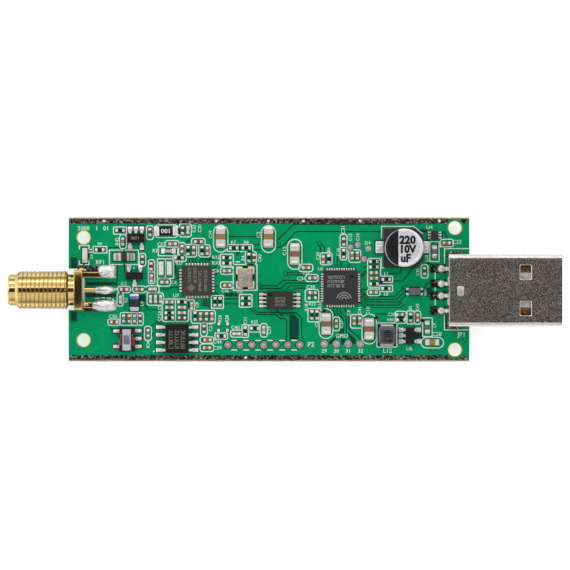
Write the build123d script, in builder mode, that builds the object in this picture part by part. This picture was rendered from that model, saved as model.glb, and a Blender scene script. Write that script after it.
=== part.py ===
"""Bare receiver board of a handheld spectrum analyzer: a coaxial jack at one end, a USB plug at the other.

Millimetres, +Z up. The board lies flat with its parts on top. +X runs from the jack to the plug.
The origin is the centre of the whole object in X and Y, at the level of its lowest point.
Places on the board are measured from the middle of the board.
"""

from build123d import *

import os

# Board
BOARD_LENGTH = 66.8
BOARD_WIDTH = 24.0
BOARD_THICKNESS = 1.6
COPPER = 0.04
NOTCH_DEPTH = 2.75
NOTCH_WIDTH = 6.9

# Coaxial jack, 1/4-36 thread
JACK_FRONT_X = -43.38
JACK_Y = -0.1
THREAD_RADIUS = 3.175
THREAD_PITCH = 0.7056
THREAD_START = 1.3
THREAD_TURNS = 12
FLANGE_SIZE = 6.6
FLANGE_START = 11.05
FLANGE_THICKNESS = 1.4
LEG_SIZE = 0.95
LEG_SPREAD = 2.53
LEG_LENGTH = 4.6
LIP_RADIUS = 2.65
ROOT_RADIUS = 2.74
NECK_RADIUS = 2.6
MOUTH_RADIUS = 2.3
MOUTH_DEPTH = 1.9
DIELECTRIC_RADIUS = 2.05
CONTACT_RADIUS = 0.635
SOCKET_RADIUS = 0.47
PIN_RADIUS = 0.5
PIN_END = 18.03
INSULATOR_REACH = 0.25

# USB plug, type A
USB_REAR_X = 29.8
USB_LENGTH = 18.75
USB_WIDTH = 12.0
USB_HEIGHT = 4.5
USB_Y = -0.15
USB_SHEET = 0.3
USB_CORNER = 0.85
USB_CONTACT_YS = [-3.55, -1.05, 0.95, 3.45]
USB_WINDOW_X = 12.7
USB_WINDOW_Y = 3.0
USB_WINDOW_LENGTH = 2.0
USB_WINDOW_WIDTH = 2.5
TONGUE_THICKNESS = 1.95
TAB_X = 30.95
TAB_LENGTH = 1.7
TAB_REACH = 0.6

# Heights that follow: the jack's flange reaches lowest, and its centre pin lies on the board
AXIS_Z = FLANGE_SIZE / 2
BOARD_TOP_Z = AXIS_Z - PIN_RADIUS - COPPER
BOARD_BOTTOM_Z = BOARD_TOP_Z - BOARD_THICKNESS
OVERALL_LEFT = JACK_FRONT_X
OVERALL_RIGHT = USB_REAR_X + USB_LENGTH
BOARD_X = -(OVERALL_LEFT + OVERALL_RIGHT) / 2

BOTTOM = Plane(origin=(BOARD_X, 0, BOARD_BOTTOM_Z))
TOP = Plane(origin=(BOARD_X, 0, BOARD_TOP_Z))
ON_BOARD = (Align.CENTER, Align.CENTER, Align.MIN)

# Mounting holes, in board places
HOLE_RADIUS = 1.1
RIM_RADIUS = 1.22
JACK_END_HOLES = [(-30.9, 8.65), (-30.9, -8.45)]
PLUG_END_HOLES = [(31.0, 10.25), (31.0, -10.05)]

# Large parts, as board places of their middles
DEMODULATOR = (11.93, 0.3)
TUNER = (-12.0, 1.47)
MEMORY = (1.8, -1.8)
AMPLIFIER = (-15.3, -8.2)
BIAS_SWITCH = (-22.17, 8.53)
TRANSISTOR = (-22.4, 2.25)
CONVERTER = (23.47, -7.7)
LOGIC_GATE = (27.6, 9.05)
OSCILLATOR = (-3.95, 1.95)
BULK_CAPACITOR = (22.4, 6.88)
POWER_INDUCTOR = (19.65, -7.65)
BALUN = (-23.65, -8.35)
ANTENNA_CHOKE = (-22.4, -2.15)
USB_CHOKE = (24.25, -0.35)
SURGE_BEAD = (-24.1, 5.4)
STATUS_LED = (-30.68, 5.67)

# Chip parts by kind: length, width, height, length of an end cap, and how far its solder spreads
SMALL_CAPACITOR = (1.0, 0.5, 0.5, 0.25, 0.16)
SMALL_RESISTOR = (1.0, 0.5, 0.35, 0.2, 0.18)
SUPPLY_CAPACITOR = (3.2, 1.55, 1.3, 1.1, 0.28)
OUTPUT_CAPACITOR = (2.0, 1.0, 0.9, 0.5, 0.25)
LARGE_RESISTOR = (3.1, 1.55, 0.55, 0.45, 0.45)
MIDDLE_RESISTOR = (1.7, 0.85, 0.5, 0.3, 0.38)
CERAMIC_INDUCTOR = (2.0, 0.85, 0.8, 0.35, 0.25)
FERRITE_CHIP = (1.6, 0.8, 0.8, 0.35, 0.3)
SURGE_CHIP = (3.0, 1.35, 1.1, 0.95, 0.45)
BODY_INSET = 0.04
SOLDER_LIP = 0.06

# Chip parts lie along X or along Y
ALONG_X = 0
ALONG_Y = 90

# Small chip parts are 1.0 x 0.5 inside their joints; brown ones hold most charge, pale ones tune the radio
BROWN_CAPACITORS = {
    ALONG_X: [
        (-16.06, 7.59), (-11.75, 7.95), (-17.4, 1.2), (-24.15, 0.0), (-21.6, 0.0),
        (-25.78, -5.44), (-10.25, -8.43), (-10.33, -9.73), (-7.0, 3.1), (-6.95, 0.68),
        (6.18, 3.6), (7.27, 1.9), (7.3, -0.54), (17.5, 2.78), (17.5, 1.87),
        (17.42, -0.48), (29.6, 7.73), (-14.5, -4.75),
    ],
    ALONG_Y: [
        (-24.35, 7.97), (-21.1, 5.0), (-19.85, 9.54), (-14.41, 9.8), (-14.49, 6.75),
        (-12.57, 6.5), (-10.3, 6.42), (-19.65, 3.85), (-21.45, -4.85), (-23.3, -4.85),
        (-11.4, -4.5), (-10.42, -4.5), (-9.49, -4.5), (-10.82, -6.6), (-2.49, 5.3),
        (9.03, 5.0), (12.45, 7.95), (13.87, 5.63), (14.73, 5.63), (25.92, 3.06),
        (11.22, -5.7), (14.2, -5.25), (15.13, -5.25), (24.8, -4.72),
    ],
}
PALE_CAPACITORS = {
    ALONG_X: [
        (-19.4, 0.05), (-5.4, -7.4), (21.8, -4.2), (-16.6, -2.1), (-16.6, -3.0),
        (-14.5, -3.0), (-14.5, -3.9),
    ],
    ALONG_Y: [
        (-13.5, 9.9), (-19.6, 1.85), (-24.75, -1.7), (-24.2, -4.85), (-22.4, -4.85),
        (-20.14, -7.27), (-19.75, -1.6), (-18.9, -1.6), (-18.05, -1.6), (-12.87, -2.75),
        (-0.85, -6.75),
    ],
}
RESISTORS = {
    ALONG_X: [
        (-28.2, 6.6), (-24.8, 9.83), (-15.0, 5.27), (-7.0, 5.28), (-7.0, 4.38),
        (-5.87, 6.9), (-3.78, 6.92), (-3.84, -1.46), (-3.84, -2.4), (-7.92, -7.78),
        (-2.35, -6.5), (17.5, 4.65), (17.5, 3.73), (17.5, 0.92), (19.55, 1.68),
        (19.5, 0.16), (22.0, -5.1), (-16.6, -3.9), (-16.6, -4.75), (-14.5, -2.1),
    ],
    ALONG_Y: [
        (-13.5, 6.47), (-11.16, 6.47), (-3.35, 5.3), (-9.0, -2.05), (-8.16, -2.05),
        (-12.32, -4.45), (-3.95, -6.95), (7.15, -4.25), (8.0, -4.25), (9.97, 5.05),
        (12.45, 5.95), (23.6, -4.68),
    ],
}
# Large capacitors, by size
SUPPLY_CAPACITORS = {ALONG_Y: [(-8.05, 8.75), (-0.08, 8.77), (4.3, 5.9), (9.53, -5.75), (16.7, -6.6)]}
OUTPUT_CAPACITORS = {ALONG_X: [(27.2, -8.8)]}
# Resistors large enough to carry a printed value
BIAS_RESISTOR = {ALONG_X: [(-17.15, 9.73)]}
FEED_RESISTOR = {ALONG_X: [(-16.75, 6.4)]}
CERAMIC_INDUCTORS = {ALONG_Y: [(-17.97, 3.5), (-16.6, 3.5)]}
FERRITE_BEADS = {ALONG_Y: [(27.57, 6.3), (26.4, -6.3)]}

# Solder-filled through pads
HEADER_PADS = [(-6.85 + 2.0 * i, -9.25) for i in range(7)]
PORT_PADS = [(9.2 + 2.0 * i, -9.1) for i in range(4)]
TEST_PADS = [(13.55, 6.97), (14.8, 7.4), (16.55, 6.8), (15.84, 5.06)]


def spots(chips):
    """Places on the board for chips lying along X or Y."""
    return [Location((x, y, 0), (0, 0, turn)) for turn, places in chips.items() for x, y in places]


def chip_bodies(chips, kind):
    """Ceramic middles, between two end caps."""
    length, width, height, cap, solder = kind
    with BuildPart(TOP) as bodies:
        with Locations(*spots(chips)):
            with Locations((0, 0, COPPER)):
                Box(length - 2 * cap, width - BODY_INSET, height - BODY_INSET, align=ON_BOARD)
    return bodies.part


def chip_caps(chips, kind):
    """Metal end caps, each standing in a wedge of solder that slopes away from the chip."""
    length, width, height, cap, solder = kind
    joint_width = width + SOLDER_LIP
    with BuildPart() as joint:
        with BuildSketch(Plane.XZ.offset(-joint_width / 2)):
            with BuildLine():
                Polyline(
                    (length / 2 - cap, 0),
                    (length / 2 + solder, 0),
                    (length / 2 + solder, SOLDER_LIP),
                    (length / 2, height * 0.75),
                    (length / 2, height),
                    (length / 2 - cap, height),
                    close=True,
                )
            make_face()
        extrude(amount=joint_width)
    with BuildPart(TOP) as caps:
        with Locations(*spots(chips)):
            add([joint.part, joint.part.rotate(Axis.Z, 180)])
    return caps.part


def bent_lead(reach, height, foot, width, sheet):
    """A gull-wing lead: out of the package at the given height, down, and out again along the board."""
    knee = (reach - foot) / 2
    with BuildPart() as lead:
        with BuildSketch(Plane.XZ.offset(-width / 2)):
            with BuildLine() as path:
                FilletPolyline(
                    (0, height),
                    (knee, height),
                    (reach - foot, sheet / 2),
                    (reach, sheet / 2),
                    radius=sheet * 0.8,
                )
            trace(path.line, line_width=sheet)
        extrude(amount=width)
    return lead.part


def leads(rows, shape):
    """Copies of one lead, each at (x, y, turn) measured from the middle of the board."""
    with BuildPart(TOP) as group:
        with Locations(*[Location((x, y, 0), (0, 0, turn)) for x, y, turn in rows]):
            add(shape)
    return group.part


def moulded_package(place, length, width, height, lift, parting, mark):
    """A moulded package: sides drafted from the parting line, and a round mark by its first lead."""
    x, y = place
    draft = 7
    with BuildPart() as package:
        with BuildSketch(TOP.offset(parting)):
            with Locations((x, y)):
                Rectangle(length, width)
        extrude(amount=height - parting, taper=draft)
        with BuildSketch(TOP.offset(parting)):
            with Locations((x, y)):
                Rectangle(length, width)
        extrude(amount=lift - parting, taper=draft)
        if mark:
            with BuildSketch(TOP.offset(height)):
                with Locations((x + mark[0], y + mark[1])):
                    Circle(mark[2])
            extrude(amount=-0.05, mode=Mode.SUBTRACT)
    return package.part


def flat_package(place, size, height, mark):
    """A square package with no leads: cut square, a chamfered first corner and a round mark."""
    x, y = place
    with BuildPart() as package:
        with BuildSketch(TOP.offset(COPPER)):
            with Locations((x, y)):
                Rectangle(size, size)
        extrude(amount=height - COPPER)
        chamfer(package.faces().sort_by(Axis.Z)[-1].edges(), length=0.06)
        with BuildSketch(TOP.offset(height)):
            with Locations((x + mark[0], y + mark[1])):
                Circle(mark[2])
        extrude(amount=-0.05, mode=Mode.SUBTRACT)
    return package.part


def edge_pads(place, size, count, pitch, reach, width):
    """Pads around a leadless package: half under its edge, half outside."""
    x, y = place
    middle = size / 2 + reach / 2 - 0.15
    with BuildPart(TOP) as pads:
        for turn in (0, 90, 180, 270):
            with Locations(Location((x, y, 0), (0, 0, turn))):
                with Locations((middle, 0)):
                    with GridLocations(1, pitch, 1, count):
                        Box(reach + 0.3, width, COPPER, align=ON_BOARD)
    return pads.part


def domes(places, radius, height):
    """Solder-filled pads: on each a low heap, steep at its rim and almost flat on top."""
    with BuildPart() as dome:
        with BuildSketch(Plane.XZ):
            with BuildLine():
                Polyline(
                    (0, 0),
                    (radius, 0),
                    (radius, COPPER),
                    (0.85 * radius, 0.7 * height),
                    (0.5 * radius, height),
                    (0, height),
                    close=True,
                )
            make_face()
        revolve(axis=Axis.Z)
    with BuildPart(TOP) as pads:
        with Locations(*[(x, y, 0) for x, y in places]):
            add(dome.part)
    return pads.part


def gather(*parts):
    """Alike pieces of more than one size, as one node of separate solids."""
    with BuildPart() as group:
        add(list(parts))
    return group.part


def finish(part, name):
    """Name a piece and write it."""
    part.label = name
    export_step(part, f"parts/{name}.step")


os.makedirs("parts", exist_ok=True)

# ---------------------------------------------------------------- board
with BuildPart() as circuit_board:
    with BuildSketch(BOTTOM):
        Rectangle(BOARD_LENGTH, BOARD_WIDTH)
        with Locations((-BOARD_LENGTH / 2 + NOTCH_DEPTH / 2, 0)):
            Rectangle(NOTCH_DEPTH, NOTCH_WIDTH, mode=Mode.SUBTRACT)
        with Locations(*JACK_END_HOLES, *PLUG_END_HOLES):
            Circle(HOLE_RADIUS, mode=Mode.SUBTRACT)
        with Locations((TAB_X, USB_Y + 5.85), (TAB_X, USB_Y - 5.85)):
            SlotOverall(2.3, 0.7, mode=Mode.SUBTRACT)
    extrude(amount=BOARD_THICKNESS)
finish(circuit_board.part, "circuit_board")

# Bare tinned copper along both long edges, where a metal case touches the board's ground
with BuildPart() as ground_strips:
    for side in (1, -1):
        with BuildSketch(TOP):
            with Locations((0, side * 11.35)):
                Rectangle(BOARD_LENGTH - 0.6, 0.8)
            with Locations(*PLUG_END_HOLES):
                Circle(RIM_RADIUS + 0.3, mode=Mode.SUBTRACT)
        extrude(amount=COPPER)
finish(ground_strips.part, "ground_strips")

# Plated rims of the mounting holes, above and below the board
with BuildPart() as hole_rims:
    for level, direction in ((TOP, 1), (BOTTOM, -1)):
        with BuildSketch(level):
            with Locations(*JACK_END_HOLES, *PLUG_END_HOLES):
                Circle(RIM_RADIUS)
                Circle(HOLE_RADIUS, mode=Mode.SUBTRACT)
        extrude(amount=direction * COPPER)
finish(hole_rims.part, "hole_rims")

finish(domes(HEADER_PADS, 0.62, 0.16), "header_pads")
finish(gather(domes(PORT_PADS, 0.62, 0.16), domes(TEST_PADS, 0.52, 0.1)), "port_and_test_pads")

# ---------------------------------------------------------------- coaxial jack
JACK_PROFILE = Plane(origin=(BOARD_X + JACK_FRONT_X, JACK_Y, AXIS_Z), x_dir=(1, 0, 0), z_dir=(0, -1, 0))
JACK_FACE = Plane(origin=(BOARD_X + JACK_FRONT_X, JACK_Y, AXIS_Z), x_dir=(0, 1, 0), z_dir=(1, 0, 0))
JACK_AXIS = Axis((BOARD_X + JACK_FRONT_X, JACK_Y, AXIS_Z), (1, 0, 0))
CREST = THREAD_PITCH / 4
FLANK = (THREAD_PITCH - 2 * CREST) / 2

barrel = [(0, 0), (0, LIP_RADIUS - 0.25), (0.25, LIP_RADIUS), (THREAD_START - 0.05, LIP_RADIUS)]
for turn in range(THREAD_TURNS):
    start = THREAD_START + turn * THREAD_PITCH
    barrel += [
        (start, ROOT_RADIUS),
        (start + FLANK, THREAD_RADIUS),
        (start + FLANK + CREST, THREAD_RADIUS),
        (start + 2 * FLANK + CREST, ROOT_RADIUS),
    ]
barrel += [(FLANGE_START - 1.15, NECK_RADIUS), (FLANGE_START, NECK_RADIUS), (FLANGE_START, 0)]

with BuildPart() as jack_body:
    with BuildSketch(JACK_PROFILE):
        with BuildLine():
            Polyline(*barrel, close=True)
        make_face()
    revolve(axis=JACK_AXIS)
    with BuildSketch(JACK_FACE.offset(FLANGE_START)):
        RectangleRounded(FLANGE_SIZE, FLANGE_SIZE, 0.2)
    extrude(amount=FLANGE_THICKNESS)
    # Upper legs rest on the board; lower legs hold it from beneath
    upper_leg = LEG_SIZE / 2 - PIN_RADIUS
    lower_leg = BOARD_BOTTOM_Z - AXIS_Z - LEG_SIZE / 2
    with BuildSketch(JACK_FACE.offset(FLANGE_START + FLANGE_THICKNESS)):
        with Locations(*[(side * LEG_SPREAD, level) for side in (1, -1) for level in (upper_leg, lower_leg)]):
            Rectangle(LEG_SIZE, LEG_SIZE)
    extrude(amount=LEG_LENGTH)
    with BuildSketch(JACK_FACE):
        Circle(MOUTH_RADIUS)
    extrude(amount=MOUTH_DEPTH, mode=Mode.SUBTRACT)
    with BuildSketch(JACK_FACE):
        Circle(DIELECTRIC_RADIUS)
    extrude(amount=FLANGE_START + FLANGE_THICKNESS, mode=Mode.SUBTRACT)
finish(jack_body.part, "jack_body")

with BuildPart() as jack_insulator:
    with BuildSketch(JACK_FACE.offset(MOUTH_DEPTH)):
        Circle(DIELECTRIC_RADIUS)
        Circle(CONTACT_RADIUS, mode=Mode.SUBTRACT)
    extrude(amount=FLANGE_START + FLANGE_THICKNESS + INSULATOR_REACH - MOUTH_DEPTH)
    # Behind the flange the insulator closes on the thinner pin
    with BuildSketch(JACK_FACE.offset(FLANGE_START)):
        Circle(CONTACT_RADIUS)
        Circle(PIN_RADIUS, mode=Mode.SUBTRACT)
    extrude(amount=FLANGE_THICKNESS + INSULATOR_REACH)
finish(jack_insulator.part, "jack_insulator")

with BuildPart() as jack_contact:
    with BuildSketch(JACK_FACE.offset(MOUTH_DEPTH)):
        Circle(CONTACT_RADIUS)
    extrude(amount=FLANGE_START - MOUTH_DEPTH)
    with BuildSketch(JACK_FACE.offset(FLANGE_START)):
        Circle(PIN_RADIUS)
    extrude(amount=PIN_END - FLANGE_START)
    # Socket for the mating pin, split by two crossing slots into four springy fingers
    with BuildSketch(JACK_FACE.offset(MOUTH_DEPTH)):
        Circle(SOCKET_RADIUS)
    extrude(amount=3.2, mode=Mode.SUBTRACT)
    with BuildSketch(JACK_FACE.offset(MOUTH_DEPTH)):
        Rectangle(0.15, 2 * CONTACT_RADIUS + 0.1)
        Rectangle(2 * CONTACT_RADIUS + 0.1, 0.15)
    extrude(amount=2.4, mode=Mode.SUBTRACT)
finish(jack_contact.part, "jack_contact")

# Solder on the centre pin and over the four legs: a lofted heap, less the metal that it holds
with BuildPart() as jack_solder:
    heaps = [
        (-29.2, -25.4, JACK_Y, 1.5, 1.3, TOP, 1),
        (-28.4, -25.5, JACK_Y + LEG_SPREAD + 0.4, 2.1, 1.3, TOP, 1),
        (-29.3, -25.5, JACK_Y - LEG_SPREAD - 0.15, 2.0, 1.3, TOP, 1),
        (-28.9, -25.6, JACK_Y + LEG_SPREAD, 1.9, 1.05, BOTTOM, -1),
        (-28.9, -25.6, JACK_Y - LEG_SPREAD, 1.9, 1.05, BOTTOM, -1),
    ]
    for start, end, middle, width, height, level, direction in heaps:
        with BuildSketch(level):
            with Locations(((start + end) / 2, middle)):
                RectangleRounded(end - start, width, width * 0.4)
        with BuildSketch(level.offset(direction * height)):
            with Locations(((start + end) / 2, middle)):
                RectangleRounded(end - start - 0.9, width * 0.6, width * 0.24)
        loft()
    add(jack_body.part, mode=Mode.SUBTRACT)
    add(jack_contact.part, mode=Mode.SUBTRACT)
finish(jack_solder.part, "jack_solder")

# ---------------------------------------------------------------- USB plug
USB_BASE = Plane(origin=(BOARD_X + USB_REAR_X, USB_Y, BOARD_TOP_Z + COPPER))
USB_REAR = Plane(origin=USB_BASE.origin, x_dir=(0, 1, 0), z_dir=(1, 0, 0))
INNER_WIDTH = USB_WIDTH - 2 * USB_SHEET
INNER_HEIGHT = USB_HEIGHT - 2 * USB_SHEET
TAB_OFFSET = (USB_WIDTH - USB_SHEET) / 2
TAB_START = TAB_X - USB_REAR_X - TAB_LENGTH / 2
BLOCK_LENGTH = 7.0
TONGUE_TOP = USB_SHEET + TONGUE_THICKNESS
CONTACT_SHEET = 0.25

with BuildPart() as usb_shell:
    with BuildSketch(USB_REAR):
        with Locations((0, USB_HEIGHT / 2)):
            RectangleRounded(USB_WIDTH, USB_HEIGHT, USB_CORNER)
            RectangleRounded(INNER_WIDTH, INNER_HEIGHT, USB_CORNER - USB_SHEET, mode=Mode.SUBTRACT)
    extrude(amount=USB_LENGTH)
    # Windows that the receptacle's springs catch, through both flat walls
    with BuildSketch(USB_BASE):
        with Locations((USB_WINDOW_X, USB_WINDOW_Y), (USB_WINDOW_X, -USB_WINDOW_Y)):
            RectangleRounded(USB_WINDOW_LENGTH, USB_WINDOW_WIDTH, 0.25)
    extrude(amount=USB_HEIGHT, mode=Mode.SUBTRACT)
    # Pressed-in lock that holds the insulator
    with BuildSketch(USB_BASE.offset(USB_HEIGHT)):
        with Locations((1.9, -0.15)):
            RectangleRounded(1.2, 1.7, 0.2)
    extrude(amount=-USB_SHEET / 2, mode=Mode.SUBTRACT)
    # Tabs that pass through the board
    with BuildSketch(USB_REAR.offset(TAB_START)):
        tab_foot = -COPPER - BOARD_THICKNESS - TAB_REACH
        with Locations((TAB_OFFSET, (1.2 + tab_foot) / 2), (-TAB_OFFSET, (1.2 + tab_foot) / 2)):
            Rectangle(USB_SHEET, 1.2 - tab_foot)
    extrude(amount=TAB_LENGTH)
finish(usb_shell.part, "usb_shell")

with BuildPart() as usb_contacts:
    for y in USB_CONTACT_YS:
        # Wide strip that the receptacle touches, half sunk in the tongue
        with BuildSketch(USB_REAR.offset(2.0)):
            with Locations((y - USB_Y, TONGUE_TOP)):
                Rectangle(1.0, CONTACT_SHEET)
        extrude(amount=15.4)
        # Narrow tail: down inside the block, out at the rear, and down to its pad
        tail_side = USB_BASE.origin + Vector(0, y - USB_Y + 0.3, 0)
        tail_plane = Plane(origin=tail_side, x_dir=(1, 0, 0), z_dir=(0, -1, 0))
        with BuildSketch(tail_plane):
            with BuildLine() as route:
                FilletPolyline(
                    (2.6, TONGUE_TOP),
                    (1.6, TONGUE_TOP),
                    (1.6, 0.8),
                    (-0.25, 0.8),
                    (-0.65, CONTACT_SHEET / 2),
                    (-1.5, CONTACT_SHEET / 2),
                    radius=0.2,
                )
            trace(route.line, line_width=CONTACT_SHEET)
        extrude(amount=0.6)
finish(usb_contacts.part, "usb_contacts")

with BuildPart() as usb_insulator:
    with BuildSketch(USB_REAR.offset(0.4)):
        with Locations((0, USB_HEIGHT / 2)):
            RectangleRounded(INNER_WIDTH - 0.1, INNER_HEIGHT, USB_CORNER - USB_SHEET + 0.1)
    extrude(amount=USB_LENGTH - 1.0)
    # Space above the tongue for the receptacle
    with BuildSketch(USB_REAR.offset(BLOCK_LENGTH)):
        with Locations((0, TONGUE_TOP)):
            Rectangle(INNER_WIDTH, INNER_HEIGHT, align=(Align.CENTER, Align.MIN))
    extrude(amount=USB_LENGTH, mode=Mode.SUBTRACT)
    add(usb_contacts.part, mode=Mode.SUBTRACT)
finish(usb_insulator.part, "usb_insulator")

# Copper under the plug: four long signal pads and rings about the tab slots, above and below
with BuildPart() as usb_pads:
    with BuildSketch(TOP):
        with Locations(*[(28.2, y) for y in USB_CONTACT_YS]):
            Rectangle(2.4, 1.1)
    extrude(amount=COPPER)
    for level, direction in ((TOP, 1), (BOTTOM, -1)):
        with BuildSketch(level):
            with Locations((TAB_X, USB_Y + TAB_OFFSET), (TAB_X, USB_Y - TAB_OFFSET)):
                SlotOverall(2.8, 1.3)
                SlotOverall(2.3, 0.7, mode=Mode.SUBTRACT)
        extrude(amount=direction * COPPER)
finish(usb_pads.part, "usb_pads")

# Solder: a ball on each signal tail, and a cone about each tab under the board
with BuildPart() as usb_solder:
    for y in USB_CONTACT_YS:
        with BuildSketch(TOP.offset(COPPER)):
            with Locations((28.7, y)):
                Circle(0.64)
        extrude(amount=0.7, taper=20)
    for side in (1, -1):
        with BuildSketch(BOTTOM.offset(-COPPER)):
            with Locations((TAB_X, USB_Y + side * TAB_OFFSET)):
                SlotOverall(2.5, 1.0)
        extrude(amount=-0.4, taper=15)
    add(usb_contacts.part, mode=Mode.SUBTRACT)
    add(usb_shell.part, mode=Mode.SUBTRACT)
finish(usb_solder.part, "usb_solder")

# ---------------------------------------------------------------- leadless chips
finish(flat_package(DEMODULATOR, 5.72, 0.9, (1.85, 1.85, 0.2)), "demodulator_package")
finish(edge_pads(DEMODULATOR, 5.72, 12, 0.4, 0.4, 0.22), "demodulator_pads")
finish(flat_package(TUNER, 5.0, 0.85, (-2.0, -2.05, 0.18)), "tuner_package")
finish(edge_pads(TUNER, 5.0, 8, 0.5, 0.4, 0.27), "tuner_pads")

# ---------------------------------------------------------------- chips with bent leads
finish(moulded_package(MEMORY, 4.4, 3.0, 1.05, 0.1, 0.5, (-1.55, 0.9, 0.28)), "memory_package")
memory_lead = bent_lead(1.2, 0.48, 0.65, 0.25, 0.13)
memory_rows = [(MEMORY[0] + 2.2, MEMORY[1] + y, 0) for y in (-0.975, -0.325, 0.325, 0.975)]
memory_rows += [(MEMORY[0] - 2.2, y, 180) for x, y, turn in memory_rows]
finish(leads(memory_rows, memory_lead), "memory_leads")

finish(moulded_package(AMPLIFIER, 3.9, 4.9, 1.5, 0.12, 0.72, (-1.3, -1.9, 0.3)), "amplifier_package")
amplifier_lead = bent_lead(1.15, 0.7, 0.6, 0.42, 0.2)
amplifier_rows = [(AMPLIFIER[0] + 1.95, AMPLIFIER[1] + y, 0) for y in (-1.905, -0.635, 0.635, 1.905)]
amplifier_rows += [(AMPLIFIER[0] - 1.95, y, 180) for x, y, turn in amplifier_rows]
finish(leads(amplifier_rows, amplifier_lead), "amplifier_leads")

finish(moulded_package(BIAS_SWITCH, 2.9, 1.6, 1.15, 0.1, 0.55, None), "bias_switch_package")
finish(moulded_package(TRANSISTOR, 2.9, 1.3, 1.05, 0.1, 0.5, None), "transistor_package")
finish(moulded_package(CONVERTER, 1.45, 2.8, 1.15, 0.1, 0.55, None), "converter_package")
finish(moulded_package(LOGIC_GATE, 1.2, 1.5, 0.95, 0.1, 0.45, None), "logic_gate_package")

small_lead = bent_lead(0.8, 0.45, 0.4, 0.42, 0.15)
small_rows = [(BIAS_SWITCH[0] + x, BIAS_SWITCH[1] + 0.8, 90) for x in (-0.97, 0.0, 0.97)]
small_rows += [(BIAS_SWITCH[0] + x, BIAS_SWITCH[1] - 0.8, 270) for x in (-0.97, 0.97)]
small_rows += [(TRANSISTOR[0] + x, TRANSISTOR[1] + 0.65, 90) for x in (-0.96, 0.96)]
small_rows += [(TRANSISTOR[0], TRANSISTOR[1] - 0.65, 270)]
small_rows += [(CONVERTER[0] - 0.72, CONVERTER[1] + y, 180) for y in (-0.96, 0.0, 0.96)]
small_rows += [(CONVERTER[0] + 0.72, CONVERTER[1] + y, 0) for y in (-0.96, 0.96)]

gate_lead = bent_lead(0.5, 0.4, 0.25, 0.2, 0.12)
gate_rows = [(LOGIC_GATE[0] + 0.6, LOGIC_GATE[1] + y, 0) for y in (-0.45, 0.0, 0.45)]
gate_rows += [(LOGIC_GATE[0] - 0.6, y, 180) for x, y, turn in gate_rows]
finish(gather(leads(small_rows, small_lead), leads(gate_rows, gate_lead)), "small_package_leads")

# ---------------------------------------------------------------- crystal oscillator
with BuildPart(TOP) as oscillator_pads:
    with Locations(OSCILLATOR):
        with GridLocations(1.9, 2.3, 2, 2):
            Box(1.1, 1.28, COPPER, align=ON_BOARD)
finish(oscillator_pads.part, "oscillator_pads")

with BuildPart(TOP.offset(COPPER)) as oscillator_base:
    with Locations(OSCILLATOR):
        Box(2.5, 3.2, 0.6, align=ON_BOARD)
        # Half-round notches at the corners, plated down to the pads
        with GridLocations(2.5, 3.2, 2, 2):
            Cylinder(0.2, 0.6, align=ON_BOARD, mode=Mode.SUBTRACT)
finish(oscillator_base.part, "oscillator_base")

with BuildPart() as oscillator_lid:
    with BuildSketch(TOP.offset(COPPER + 0.6)):
        with Locations(OSCILLATOR):
            RectangleRounded(2.2, 2.9, 0.3)
    extrude(amount=0.25)
    fillet(oscillator_lid.faces().sort_by(Axis.Z)[-1].edges(), radius=0.1)
finish(oscillator_lid.part, "oscillator_lid")

# ---------------------------------------------------------------- bulk capacitor
CAN_RADIUS = 3.15
CAN_TOP = 5.8
CAN_BOTTOM = 0.55
CAN_WALL = 0.2
CAN_AXIS_PLACE = (BOARD_X + BULK_CAPACITOR[0], BULK_CAPACITOR[1], BOARD_TOP_Z)
CAN_PROFILE = Plane(origin=CAN_AXIS_PLACE, x_dir=(1, 0, 0), z_dir=(0, -1, 0))
CAN_AXIS = Axis(CAN_AXIS_PLACE, (0, 0, 1))

with BuildPart(TOP) as capacitor_tabs:
    with Locations(BULK_CAPACITOR):
        with Locations((-3.65, 0.15), (3.2, 0.15)):
            Box(1.8, 1.9, 0.1, align=ON_BOARD)
finish(capacitor_tabs.part, "bulk_capacitor_tabs")

with BuildPart() as capacitor_base:
    with BuildSketch(TOP.offset(0.1)):
        with Locations(BULK_CAPACITOR):
            Rectangle(6.6, 6.6)
    extrude(amount=1.2)
    chamfer(capacitor_base.edges().filter_by(Axis.Z).group_by(Axis.X)[-1], length=1.3)
    with BuildSketch(TOP.offset(CAN_BOTTOM)):
        with Locations(BULK_CAPACITOR):
            Circle(CAN_RADIUS + 0.03)
    extrude(amount=1.0, mode=Mode.SUBTRACT)
finish(capacitor_base.part, "bulk_capacitor_base")

with BuildPart() as capacitor_can:
    with BuildSketch(CAN_PROFILE):
        with BuildLine():
            Polyline(
                (CAN_RADIUS, CAN_BOTTOM),
                (CAN_RADIUS, 1.45),
                (CAN_RADIUS - 0.3, 1.65),
                (CAN_RADIUS, 1.85),
                (CAN_RADIUS, CAN_TOP - 0.3),
                (CAN_RADIUS - 0.3, CAN_TOP),
                (CAN_RADIUS - 0.5, CAN_TOP),
                (CAN_RADIUS - 0.6, CAN_TOP - 0.1),
                (0, CAN_TOP - 0.1),
                (0, CAN_TOP - 0.1 - CAN_WALL),
                (CAN_RADIUS - 0.6, CAN_TOP - 0.1 - CAN_WALL),
                (CAN_RADIUS - CAN_WALL, CAN_TOP - 0.5),
                (CAN_RADIUS - CAN_WALL, 1.95),
                (CAN_RADIUS - 0.5, 1.65),
                (CAN_RADIUS - CAN_WALL, 1.35),
                (CAN_RADIUS - CAN_WALL, CAN_BOTTOM),
                close=True,
            )
        make_face()
    revolve(axis=CAN_AXIS)
finish(capacitor_can.part, "bulk_capacitor_can")

with BuildPart() as capacitor_seal:
    with BuildSketch(TOP.offset(CAN_BOTTOM)):
        with Locations(BULK_CAPACITOR):
            Circle(CAN_RADIUS - CAN_WALL)
    extrude(amount=0.8)
finish(capacitor_seal.part, "bulk_capacitor_seal")

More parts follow.
